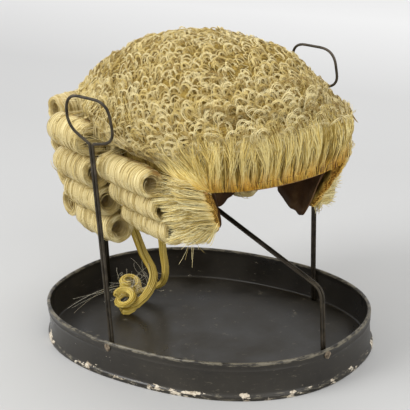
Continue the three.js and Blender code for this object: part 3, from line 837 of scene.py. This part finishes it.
def ridge_loops(scalp):
    """Long narrow loops that rise out of the combed hair and turn over the ridge."""
    chance, runs = Random(29), []
    for _ in range(RIDGE_LOOPS):
        turn = chance.uniform(-58, 58)
        crest = ridge_level(turn) + chance.uniform(-9, 5) - 8 * ease(abs(turn), 36, 46)
        half = chance.uniform(1.4, 2.8)
        tall = chance.uniform(9, 19)
        lean = chance.gauss(0, 1.6)
        lift = chance.uniform(1.4, 3.0)
        tint = 0.3 + 0.7 * chance.random()
        for share in (1.0, 0.72):
            def place(t):
                angle = pi * (t - 0.5)
                across = half * share * sin(angle) * (1 + 0.3 * abs(sin(angle)))
                fall = tall * (1 - cos(angle)) ** 1.3 * (1.0 if t > 0.5 else 0.75)
                sway = lean * fall / tall
                return turn + across + sway, crest - fall - 2 * (1 - share), lift - 0.09 * fall

            lay(runs, scalp, 10, place, chance, 0.2, tint)
    hairs("ridge_loops", runs)


def edge_threads(scalp):
    """The dark binding thread along the front edge and the line of stitches above it."""
    runs = []
    for height, out, radius, low, high in ((EDGE_HEIGHT - 0.6, 0.9, 0.55, -37.5, 36.5),
                                           (EDGE_HEIGHT + 5.3, 1.5, 0.17, -30, 18)):
        def place(t):
            turn = blend(low, high, t)
            sway = 0.35 * uneven(turn * 0.35, height, 0)
            return turn, height + sway, out + sway

        runs.append((laid(scalp, 90, place), [radius * MM] * 90, 0.5))
    finished(tube("edge_threads", runs, 6, BINDING), "binding")


def flap_locks(side, word, scalp):
    """Hairs sewn along the edge of a flap and laid back, some hanging from its low corner."""
    chance, runs = Random(30 + side), []
    low = 136.5 if side < 0 else 130.5
    lock_width = 4.6
    for _ in range(FLAP_HAIRS):
        share = chance.random() ** 0.8
        height = blend(179.5, low, share)
        start = front_turn(side, height) + side * 0.3
        length = blend(24, 19, ease(share, 0.2, 0.9)) * chance.uniform(0.6, 1.12)
        rise = blend(9, -3, share) - 2 * ease(share, 0.7, 1) + chance.gauss(0, 1.6)
        droop = chance.uniform(0, 5) * blend(1, 0.4, ease(share, 0.6, 1))
        lift = chance.uniform(0, 1)
        flare = chance.uniform(0, 1) ** 1.5 * 7
        wave = chance.uniform(0, 1)
        lock = floor(height / lock_width + 0.6 * uneven(height * 0.2, side, 0))
        middle = (lock + 0.5) * lock_width
        away = min(1.0, abs(height - middle) / 2.6)
        bend = 3 * uneven(lock * 1.3, side, 4)
        proud = 2.4 * (1 - away * away) + 1.6 * uneven(lock * 2.7, side, 9)
        pull = chance.uniform(0.2, 1)

        def place(t):
            drift = bend * t * t + 1.1 * sin(8 * t + 9 * wave) * t - droop * t ** 3
            level = blend(height, middle, pull * sin(pi * min(1.0, 1.1 * t)))
            out = (0.1 + 1.8 * lift * sin(2 * t) + proud * sin(2.2 * t)
                   + 6 * ease(t, 0.2, 1) + flare * t ** 3)
            return start + side * length * t, level + rise * t + drift, out

        lay(runs, scalp, 8, place, chance, 0.215)
    for _ in range(HANGING_HAIRS[side]):
        height = low + chance.uniform(0.5, 15)
        start = front_turn(side, height) + side * 0.3
        back = chance.uniform(5, 17)
        fall = (height - low + 7.5) * chance.uniform(0.6, 1)
        swell = chance.uniform(0.5, 4)

        def place(t):
            out = 0.2 + swell * sin(pi * min(1.0, 0.9 * t))
            return start + side * back * t, height - fall * ease(t, -0.1, 1), out

        lay(runs, scalp, 8, place, chance, 0.215)
    hairs(f"temple_{word}_laid", runs, LAID_PAINTED_LIGHT)
    return chance


def temple_locks(side, word, scalp, over_curls):
    """The hair of one side: on the flap, combed down to it and over the ends of the rolls."""
    chance, runs = flap_locks(side, word, scalp), []
    goal = 35
    for _ in range(SIDE_HAIRS):
        start = chance.uniform(50, 104)
        high = chance.uniform(197, 213)
        reach = min(chance.uniform(16, 30), start - goal)
        low_end = high + (178 - high) * reach / (start - goal)
        if start - reach > 52:
            low_end = max(low_end, 193)
        depth = chance.uniform(-0.6, 2.4)
        wave = chance.uniform(0, tau)

        def place(t):
            height = blend(high, low_end, t ** 1.15) + 0.7 * sin(wave + 5 * t)
            return side * (start - reach * t), height, 0.8 + depth * sin(pi * min(1, t + 0.25))

        lay(runs, scalp, 7, place, chance, 0.23)
    # Hairs over the ends of the side rolls, then over the back rolls: how many, how thick, where
    # they start, how far they drop, how they swerve and how far out they run.
    for number, radius, starts, highs, drops, swerve, off in (
            (220, 0.23, (92, 110), (202, 219), (14, 34), lambda: chance.uniform(-4, 5),
             lambda t: 0.6 + 1.2 * sin(2.6 * t + 0.3)),
            (240, 0.22, (112, 172), (232, 246), (16, 27), lambda: chance.gauss(0, 3),
             lambda t: 0.8 + 2.4 * sin(pi * t))):
        for _ in range(number):
            start, high, drop = (chance.uniform(*span) for span in (starts, highs, drops))
            back = swerve()
            wave = chance.uniform(0, tau)

            def place(t):
                turn = start + back * t + 1.2 * sin(wave + 6 * t)
                return side * turn, high - drop * t, off(t)

            lay(runs, over_curls, 7, place, chance, radius)
    hairs(f"temple_{word}_combed", runs)


def nape_locks(scalp):
    """Wavy hair that falls from the crown over the foundation, behind the rolls."""
    chance, runs = Random(61), []
    lock_width, lowest = 4.5, 152
    for _ in range(NAPE_HAIRS):
        turn = chance.uniform(96, 264)
        high = chance.uniform(198, 228)
        drop = chance.uniform(34, 62)
        lock = floor(turn / lock_width)
        middle = (lock + 0.5) * lock_width + 2 * uneven(lock * 1.7, 5, 0)
        pull = chance.uniform(0.2, 1)
        wave = chance.uniform(0, tau)
        depth = chance.uniform(0.3, 2.6)

        def place(t):
            way = blend(turn, middle, pull * sin(pi * t)) + 0.8 * sin(wave + 7 * t)
            way += 1.6 * sin(lock * 2.1 + 8 * t) * t
            return way, max(high - drop * t, lowest), 0.3 + depth * sin(0.5 + 2.3 * t)

        lay(runs, scalp, 7, place, chance, 0.26)
    hairs("nape_combed", runs)


# The leather inside the far flap reaches back over the ear, and hangs lower at the nape. For
# each lining: the height of its top, how far it leans out, and columns in the wig's frame, by
# how far forward, how far to the left at the top, and the height of the lower edge.
LININGS = {
    "ear_lining": (181, 0.48, ((34, 77.8, 158), (40, 77.4, 137), (46, 76.8, 132.7),
                               (54, 75.8, 130.5), (62, 74.5, 128.5), (69, 73.4, 127),
                               (77, 72.2, 127.4), (85, 69.7, 126.4), (91, 67.6, 128),
                               (96, 65.1, 131), (102, 62.2, 146), (107, 58.8, 172))),
    "nape_lining": (124, 0.27, ((-54, 41.6, 116), (-49, 44.9, 108), (-44, 48.1, 105.5),
                                (-40, 50.1, 102), (-36, 51.3, 100.4), (-32, 52.6, 104),
                                (-29, 53.5, 109), (-25, 54.8, 112), (-22, 55.8, 117))),
}


def linings():
    rows = 9
    away = WIG_TURN @ Vector((0, -1.2 * MM, 0))
    for name, (top, slope, columns) in LININGS.items():
        front = []
        for column in smooth_run([Vector(c) for c in columns], 3):
            for k in range(rows):
                height = blend(top, column.z, k / (rows - 1))
                wrinkle = 0.8 * uneven(column.x * 0.07, height * 0.09, 7)
                y = column.y - slope * (top - height) - 0.9 + wrinkle
                front.append(WIG @ (Vector((column.x, y, height)) * MM))
        back = [point + away for point in front]
        finished(sheet(name, front, back, rows, LEATHER), "cap_leather")


# Rolls

# How many faces a roll has round it and along it.
ROLL_ROUND = 32
ROLL_LONG = 24
SEWN_AT = 124  # degrees round a roll, from its outer side over its top
# From the lip of a roll into its bore: how far past the roll's end, how far inwards, and how
# much that counts as inside, and so how much painted shade the bore gets there.
MOUTH = ((-0.5, 0.6, 0.0), (0.0, 1.5, 0.15), (-0.4, 2.5, 0.4), (-2.5, 3.2, 0.7),
         (-7.3, 4.2, 0.9), (-14.3, 5.0, 1.0))


def shares(count):
    return [i / (count - 1) for i in range(count)]


def round_roll(place, shift, angle, out):
    """A point round a roll, which is placed by its middle, its length's way and its outer side."""
    middle, along, away = place
    return middle + along * shift + away * cos(angle) * out + UP * sin(angle) * out


def roll(node, along, away, seed):
    """A curl wound on a stick: turns of hair side by side, and an open bore."""
    reach = [v.co.dot(along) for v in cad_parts[node].data.vertices]
    low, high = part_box(node)
    middle, length, radius = (low + high) / 2, max(reach) - min(reach), (high.z - low.z) / 2
    middle += along * ((min(reach) + max(reach)) / 2 - middle.dot(along))
    if node == "quarter_curl_left_4":  # its front end shows under the far flap, and is shorter
        middle, length = middle - along * 11 * MM, length - 22 * MM
    offset = Random(seed).uniform(0, 90)
    rows = []
    for i in range(ROLL_LONG + 1):
        share = i / ROLL_LONG - 0.5
        full = 1 - 0.1 * abs(2 * share) ** 3
        ridge = uneven(share * 9 + offset, 0.3, seed * 1.7)
        fine = uneven(share * 30 + offset, 5.1, seed)
        rows.append((share * length, radius * (full - 0.02 + 0.05 * ridge + 0.02 * fine), 0.0))
    narrow = 1.75 if node.startswith("quarter") else 1.15  # how much a bore draws in
    for end, lip, mouth in ((1, rows[-1][1], MOUTH), (-1, rows[0][1], MOUTH[::-1])):
        for past, inward, inside in mouth:
            rows.append((end * (length / 2 + past * MM), lip - inward * narrow * MM, inside))
    vertices, insides, ambers, uvs = [], [], [], []
    for shift, reach, inside in rows:
        end = ease(abs(shift) / length, 0.3, 0.5)
        for j in range(ROLL_ROUND):
            angle = j / ROLL_ROUND * tau
            wave = uneven(shift * 90 + offset, cos(angle) * 0.8, sin(angle) * 0.8 + seed)
            loose = uneven(cos(angle) * 1.1 + offset, sin(angle) * 1.1,
                           seed + (9 if shift > 0 else 0))
            vertices.append(round_roll(
                (middle, along, away), shift + copysign(2.6 * MM * loose * end, shift), angle,
                reach * (1 + 0.04 * wave * (1 - inside))))
            sewn = ease(cos(angle - radians(SEWN_AT)), 0.8, 0.98)
            # How deep in the bore this point lies; the finish paints shade by it.
            insides.append(inside)
            ambers.append(sewn * (1 - inside) * (0.3 if node.startswith("back") else 1.0))
            uvs.append((shift / length + 0.5 + 0.02 * sin(angle), j / ROLL_ROUND))
    faces = ring_faces(0, len(rows), ROLL_ROUND, closed=True)
    piece = outward(made(f"{node}_wound", vertices, faces, WOUND))
    marked(piece, inside=insides, amber=ambers)
    piece.data.uv_layers.new(name="wound").data.foreach_set(
        "uv", [c for loop in piece.data.loops for c in uvs[loop.vertex_index]])
    finished(piece, "horsehair", node)
    return piece, (middle, along, away), length, radius


def loose_turns(wound):
    """Single hairs that stand a little off the rolls and off the walls of their bores."""
    chance, runs = Random(77), []
    for _, place, length, radius in wound:
        for _ in range(TURNS_ON_ROLL):
            share = chance.uniform(-0.5, 0.5)
            start = chance.uniform(0, tau)
            sweep = chance.uniform(1.6, 4.2)
            reach = radius * (1 - 0.1 * abs(2 * share) ** 3 + chance.uniform(-0.01, 0.035))
            drift = chance.gauss(0, 1.2) * MM
            stray = chance.random() ** 4 * 0.16
            points = [round_roll(place, share * length + drift * t, start + sweep * t,
                                 reach + radius * stray * t ** 2) for t in shares(9)]
            runs.append((points, [0.25 * MM] * 9, chance.random()))
        for end in (-1, 1):
            for _ in range(TURNS_IN_MOUTH):
                start = chance.uniform(0, tau)
                sweep = chance.uniform(1.2, 3.8)
                reach = radius * chance.uniform(0.5, 0.92)
                depth = chance.uniform(-6, 1) * MM
                points = [round_roll(place, end * (length / 2 + depth + 1.5 * MM * t),
                                     start + sweep * t, reach * (1 - 0.25 * t))
                          for t in shares(7)]
                runs.append((points, [0.25 * MM] * 7, chance.random()))
    hairs("loose_turns", runs)


def rolls():
    forward = (WIG_TURN @ Vector((1, 0, 0))).normalized()
    left = (WIG_TURN @ Vector((0, 1, 0))).normalized()
    wound = []
    for side, word in ((-1, "right"), (1, "left")):
        for name, count in (("side_curl", 3), ("quarter_curl", 4), ("back_curl", 4)):
            ways = (left, -forward) if name == "back_curl" else (forward, left * side)
            for row in range(1, count + 1):
                wound.append(roll(f"{name}_{word}_{row}", *ways, len(wound) + 1))
    loose_turns(wound)
    return [piece for piece, *_ in wound]


# Tails and loose hairs

# Centre lines of the two tails, as they hang from the lowest back curls.
TAIL_ROUTES = {
    "tail_right": (
        (-103, 16.4, 99.5), (-103.3, 16.1, 94.2), (-101.2, 17.8, 87.8), (-96, 21.7, 79.6),
        (-93.3, 23.6, 71), (-90.8, 25.1, 60.9), (-87.5, 25.7, 51.7), (-82.8, 25.3, 45.2),
        (-77.5, 24.1, 39.4), (-73.7, 21.7, 33.8), (-72.1, 17.5, 28), (-71.9, 12.2, 22.3),
        (-73.7, 6.8, 17), (-79.1, 1.3, 10.5)),
    "tail_left": (
        (-94.7, 49.4, 99.5), (-95.3, 49.7, 94.1), (-90.5, 47.3, 87.8), (-83.9, 44, 84.3),
        (-78.5, 41, 79.6), (-75.1, 38.8, 71.2), (-73.2, 37.1, 61.1), (-71.4, 35.3, 51.7),
        (-69.1, 33.5, 45.4), (-67, 31.7, 39.5), (-66.6, 30.8, 33.8), (-68.8, 31.7, 27.6),
        (-72.9, 33.5, 21.6), (-78.5, 34.2, 16.9), (-89.7, 31.6, 12.1)),
}
# Each ringlet: its middle, the way its turns advance, and the turns it makes.
RINGLETS = {
    "tail_right": ((-90.5, -1.5, 14.0), (0.10, -0.42, 0.90), 1.9),
    "tail_left": ((-107.5, 27.5, 14.6), (0.22, -0.30, 0.93), 2.1),
}


def tail_route(node):
    """The whole way of a tail: down from the curls, through the tray and round its ringlet."""
    middle, axis, turns = RINGLETS[node]
    middle, axis = Vector(middle), Vector(axis).normalized()
    side = axis.cross(UP).normalized()
    rise = side.cross(axis)
    route = [Vector(p) for p in TAIL_ROUTES[node]]
    for share in shares(int(turns * 14) + 1):
        angle = radians(-62) - turns * tau * share
        point = middle + axis * blend(-7.5, 8, share)
        point += (side * cos(angle) + rise * sin(angle)) * blend(9.2, 7.4, share)
        point.z = max(point.z, 4.4)
        route.append(point)
    return [p * MM for p in smooth_run(route, 2)]


def tail(node, seed):
    """A tail: a flat lock of hairs with a ringlet at its end."""
    chance, runs = Random(seed), []
    route = tail_route(node)
    count = len(route)
    widest = 4.0 if node == "tail_right" else 3.2
    normal = Vector((0.8, 0.6, 0))
    spokes = []
    for i in range(count):
        ahead = (route[min(i + 1, count - 1)] - route[max(i - 1, 0)]).normalized()
        normal = (normal - ahead * normal.dot(ahead)).normalized()
        half = blend(widest, 2.9, ease(i / count, 0.25, 0.6)) * ease(i / count, -0.2, 0.12)
        spokes.append((normal * half, ahead.cross(normal) * half * 0.62))
    for _ in range(TAIL_HAIRS):
        phase = chance.uniform(0, tau)
        spread = sqrt(chance.random()) if chance.random() < 0.4 else chance.uniform(0.8, 1.05)
        turns = chance.uniform(0.5, 1.1)
        points = []
        for i in range(0, count, 2):
            angle = phase + turns * tau * i / count
            wide, thick = spokes[i]
            points.append(route[i] + (wide * cos(angle) + thick * sin(angle)) * spread * MM)
        runs.append((points, [0.33 * MM] * len(points), chance.random()))
    hairs(f"{node}_hair", runs, TAIL_HAIR, node)


def any_way(chance):
    return Vector([chance.gauss(0, 1) for _ in range(3)]).normalized()


def wandering(start, way, spin, bend, step, count):
    """The points of a loose hair that bends steadily as it goes, above the tray's bottom."""
    points = []
    for _ in range(count):
        start.z = max(start.z, 2.4 * MM)
        points.append(start)
        start = start + way * step * MM
        way = (way + spin.cross(way) * bend).normalized()
    return points


def strays(scalp):
    """Fine loose hairs about the ringlets, in the tray, over the crown and under a flap."""
    chance, runs = Random(91), []
    for centre, spread, number in (((-84, 14, 25), 12, 36), ((-100, 12, 18), 11, 18)):
        for _ in range(number):
            start = Vector(centre) + Vector([chance.gauss(0, 0.5) * spread for _ in range(3)])
            points = wandering(start * MM, any_way(chance), any_way(chance),
                               chance.uniform(0.06, 0.2), 1.5, 16)
            runs.append((points, [0.1 * MM] * 16, chance.uniform(0.4, 1)))
    for _ in range(TRAY_HAIRS):
        share = chance.random()
        start = blend(Vector((-104, 30, 8)), Vector((-112, 40, 11)), chance.random())
        middle = Vector((-128, 12 + 14 * share, 8 + 14 * chance.random()))
        end = Vector((-135 + 12 * share, -20 - 22 * chance.random(), 4 + 12 * chance.random()))
        points = [bow(start, middle, end, t) * MM for t in shares(12)]
        runs.append((points, [0.11 * MM] * 12, chance.uniform(0.3, 1)))
    hairs("loose_hairs", runs, PALE_HAIR)
    runs = []
    for _ in range(CROWN_FLYAWAYS):
        turn = chance.uniform(-180, 180)
        high = 268 - 55 * chance.random() ** 1.4
        drop = chance.uniform(-6, 10)
        swing = chance.gauss(0, 7)
        off = chance.uniform(1.5, 5.5)
        bend = chance.uniform(2, 3.6)

        def place(t):
            return turn + swing * t, high - drop * t, off * sin(bend * t)

        lay(runs, scalp, 9, place, chance, 0.12, tip=1)
    for _ in range(FLAP_FLYAWAYS):
        start = WIG @ (Vector((chance.uniform(78, 92), -63 - 4 * chance.random(), 137)) * MM)
        way = Vector((chance.gauss(0, 0.4), chance.gauss(0, 0.4), -1)).normalized()
        points = wandering(start, way, any_way(chance), chance.uniform(0.04, 0.16),
                           chance.uniform(1.2, 2.8), 11)
        runs.append((points, [0.12 * MM] * 11, chance.random()))
    hairs("flyaway_hairs", runs)


# The stand

# Each upright: where its foot stands, and how far to the left its top leans.
HANDLES = {"handle_right": (-21.05, -108.2, -6), "handle_left": (50.95, 104.4, 10)}
# Each support: the end of the tray it starts from, and the height of its loop's top.
SUPPORTS = {"support_front": (1, 253.2), "support_back": (-1, 252.6)}
# The corners of a loop of wire, in shares of its width and of its height.
LOOP = ((-0.5, 0.34), (-0.46, 1.0), (0.42, 0.92), (0.5, 0.1))
WIRE_FOOT = 1.7  # above the ground
WIRE_RADIUS = 1.2


def rounded(corners, steps=8):
    """The points of straight runs with rounded corners: each corner has its bend."""
    points = [corners[0][0]]
    for (last, _), (here, bend), (ahead, _) in zip(corners, corners[1:], corners[2:]):
        back, on = last - here, ahead - here
        bend = min(bend, back.length * 0.48, on.length * 0.48)
        start, end = here + back.normalized() * bend, here + on.normalized() * bend
        points += [bow(start, here, end, t) for t in shares(steps + 1)]
    return points + [corners[-1][0]]


def doubled_wire(name, stem, across, width, height):
    """One wire bent double: up its stem, round a loop and down beside itself."""
    apart = across * 1.35
    neck = stem[-1][0]
    corners = [(at - apart, bend) for at, bend in stem]
    corners += [(neck + across * x * width + UP * z * height, 14) for x, z in LOOP]
    corners += [(at + apart, bend) for at, bend in reversed(stem)]
    points = [p * MM for p in rounded(corners)]
    wire = tube(f"{name}_wire", [(points, [WIRE_RADIUS * MM] * len(points), 0)], 12, WIRE)
    finished(wire, "steel_wire", name)


def stand_wires():
    for name, (x, y, lean) in HANDLES.items():
        stem = [(Vector((x, y, WIRE_FOOT)), 0), (Vector((x, y, 33)), 9),
                (Vector((x, y + lean, 205.8)), 2)]
        doubled_wire(name, stem, Vector((1, 0, 0)), 47, 39)
    for name, (end, top) in SUPPORTS.items():
        foot = Vector((140.1, -34.9, 0)) * end
        along = foot.normalized()
        stem = [(foot + UP * WIRE_FOOT, 0), (foot + UP * 84, 9), (along * 4 + UP * 128.9, 9),
                (along * 4 + UP * (top - 26), 9)]
        doubled_wire(name, stem, UP.cross(along), 40, 26)


TRAY_SIDES = 220
TRAY_HALVES = (150, 114)  # half the length and half the width of the rim
TRAY_SQUARENESS = 2.3  # 2 would be an ellipse
# Where a wire meets the tray: the turn round it, and the height of the solder.
SOLDER_SPOTS = ((-101, 27.8), (64, 27.8), (-14, 28), (166, 28))
# The section of the tray's wall, from the foot over the rim to the floor: out and up.
TRAY_ROWS = (
    (0, 0), (0.7, 0.1), (1.15, 0.6), (1.2, 1.6), (1.2, 3.0), (1.0, 3.9), (0.4, 4.4), (-0.1, 4.9),
    (-0.5, 7.0), (-0.9, 11.0), (-1.2, 16.0), (-1.05, 22.0), (-0.75, 24.6), (-0.45, 25.2),
    (-0.45, 25.9), (-0.8, 26.4), (-0.6, 28.6), (-0.3, 29.8), (-0.02, 30.6), (0.0, 31.4),
    (-0.35, 32.3), (-0.95, 32.85), (-1.6, 33.0), (-2.3, 32.8), (-2.9, 32.2), (-3.2, 31.4),
    (-3.1, 30.5), (-2.7, 29.8), (-2.6, 26.0), (-2.6, 16.5), (-2.6, 3.4), (-3.1, 2.0), (-4.6, 1.4),
)


def tray_point(angle, out, height):
    x, y = (copysign(abs(wave) ** (2 / TRAY_SQUARENESS), wave) * (half + out)
            for wave, half in zip((cos(angle), sin(angle)), TRAY_HALVES))
    return Vector((x, y, height)) * MM


def even_angles():
    """Angles that share the oval's rim out in even steps."""
    fine = 4000
    points = [tray_point(i / fine * tau, 0, 0) for i in range(fine + 1)]
    lengths = [0.0]
    for here, there in zip(points, points[1:]):
        lengths.append(lengths[-1] + (there - here).length)
    angles, k = [], 0
    for j in range(TRAY_SIDES):
        want = lengths[-1] * j / TRAY_SIDES
        while lengths[k + 1] < want:
            k += 1
        angles.append((k + (want - lengths[k]) / (lengths[k + 1] - lengths[k])) / fine * tau)
    return angles


def tray():
    vertices, wears, rims = [], [], []
    angles = even_angles()
    for out, height in TRAY_ROWS:
        for angle in angles:
            point = tray_point(angle, out, height)
            dent = uneven(cos(angle) * 3, sin(angle) * 3, height * 0.03)
            inward = Vector((point.x, point.y, 0)).normalized()
            vertices.append(point + inward * min(0, dent) * 0.35 * MM)
            bead = height < 5.2 and out > -1
            patch = uneven(cos(angle) * 4 + 9, sin(angle) * 4, 2)
            low = 0.35 * ease(height, 12, 5) if out > -1.3 else 0.0
            wears.append(0.52 + 0.85 * patch if bead else low * (0.8 + patch))
            rims.append(1.0 if height > 30.5 else (0.6 if bead else 0.0))
    faces = ring_faces(0, len(TRAY_ROWS), TRAY_SIDES)
    for first, order, height in ((0, -1, 0), (len(TRAY_ROWS) - 1, 1, TRAY_ROWS[-1][1])):
        ring = range(first * TRAY_SIDES, (first + 1) * TRAY_SIDES)
        for a, b in zip(ring, (*ring[1:], ring[0])):
            faces.append((len(vertices), *(a, b)[::order]))
        vertices.append(Vector((0, 0, height * MM)))
        wears.append(0.0)
        rims.append(0.0)
    piece = made("tray_shell", vertices, faces, JAPAN)
    finished(marked(piece, wear=wears, rim=rims), "japanned_tin", "tin_tray")


def solder():
    """A small uneven run of solder on the wall of the tray at each wire."""
    spots = [(i / 720 * tau, tray_point(i / 720 * tau, 0, 0)) for i in range(720)]
    for index, (turn, height) in enumerate(SOLDER_SPOTS):
        goal = min(spots, key=lambda spot: abs(remainder(
            atan2(spot[1].y, spot[1].x) - radians(turn), tau)))[0]
        centre = tray_point(goal, -0.4, height)
        spin = Matrix.Rotation(atan2(centre.y, centre.x) + pi / 2, 3, "Z")
        shape = bmesh.new()
        bmesh.ops.create_icosphere(shape, subdivisions=3, radius=1.0)
        for vertex in shape.verts:
            value = noise.noise(vertex.co * 1.7 + Vector((index, 0, 0)))
            ball = vertex.co * (1 + 0.22 * value)
            vertex.co = spin @ Vector((ball.x * 3.4, ball.y * 0.9, ball.z * 3.6)) * MM + centre
        mesh = bpy.data.meshes.new(f"solder_{index + 1}")
        shape.to_mesh(mesh)
        shape.free()
        mesh.materials.append(SOLDER)
        finished(smooth(linked(f"solder_{index + 1}", mesh)), "steel_wire")


# The picture

# Each lamp: its place, its power and its size.
LAMPS = {"key": ((-1.15, -1.5, 1.7), 39, 1.2), "fill": ((1.9, -0.9, 1.3), 19, 1.6),
         "top": ((0.1, 0.5, 2.1), 14, 1.6)}
LIT = Vector((0, 0, 0.13))  # where the lamps point
ROOM_LIGHT = 0.72
FLOOR_REACH = 9
# The camera's lens in millimetres, its place, the ways ahead and to its right, and its roll.
LENS = 110.9
VIEWPOINT = Vector((0.6041, -0.84331, 0.48772))
VIEW_AHEAD = Vector((-0.54629, 0.76871, -0.33266)).normalized()
VIEW_RIGHT = Vector((0.81513, 0.57928, 0)).normalized()
VIEW_ROLL = -0.05


def studio():
    mesh = bpy.data.meshes.new("floor")
    far = FLOOR_REACH
    mesh.from_pydata([(-far, -far, 0), (far, -far, 0), (far, far, 0), (-far, far, 0)], [],
                     [(0, 1, 2, 3)])
    mesh.materials.append(floor_finish())
    linked("floor", mesh)
    world = bpy.data.worlds.new("soft_room")
    world.use_nodes = True
    light = world.node_tree.nodes["Background"].inputs
    light[0].default_value, light[1].default_value = (1, 1, 1, 1), ROOM_LIGHT
    bpy.context.scene.world = world
    bpy.context.scene.view_settings.view_transform = "Standard"
    for name, (place, power, size) in LAMPS.items():
        lamp = bpy.data.lights.new(name, "AREA")
        lamp.energy, lamp.size = power, size
        holder = linked(name, lamp)
        holder.location = place
        holder.rotation_mode = "QUATERNION"
        holder.rotation_quaternion = (LIT - Vector(place)).to_track_quat("-Z", "Y")


def camera():
    """The photograph's viewpoint, with its small roll."""
    eye = bpy.data.cameras.new("camera")
    eye.sensor_width, eye.lens, eye.clip_start, eye.clip_end = 36, LENS, 0.05, 40
    holder = linked("camera", eye)
    up = VIEW_RIGHT.cross(VIEW_AHEAD).normalized()
    turn = Matrix((VIEW_RIGHT * cos(VIEW_ROLL) + up * sin(VIEW_ROLL),
                   up * cos(VIEW_ROLL) - VIEW_RIGHT * sin(VIEW_ROLL), -VIEW_AHEAD)).transposed()
    holder.matrix_world = Matrix.Translation(VIEWPOINT) @ turn.to_4x4()
    bpy.context.scene.camera = holder


camera()
studio()
tray()
stand_wires()
solder()
ground("cap_lining", "cap", 1, LEATHER, (0.25, 26, 0, 0), "cap_leather")
ground("front_binding_ribbon", "front_binding", 2, BINDING, slot="binding")
weft = ground("weft_ground", "weft_base", 1, SHADED_COMBED_GROUND, (1.2, 8, 4))
crown = ground("crown_ground", "crown_hair", 2, SHADED_GROUND, (2, 9, 1), high=True)
forepart = ground("forepart_ground", "forepart_hair", 2, SHADED_COMBED_GROUND, (1.4, 8, 2), high=True)
flaps = [temple("right"), temple("left")]
frizz(crown)
heads = [weft, crown, forepart, *flaps]
scalp = skin([*heads, ridge_cover(skin(heads))])
over_curls = skin([crown, *flaps, *rolls()])
front = skin([forepart, *flaps])
forepart_locks(front)
edge_threads(front)
ridge_loops(scalp)
flowing(scalp)
nape_locks(scalp)
temple_locks(-1, "right", scalp, over_curls)
temple_locks(1, "left", scalp, over_curls)
linings()
tail("tail_right", 3)
tail("tail_left", 4)
strays(scalp)
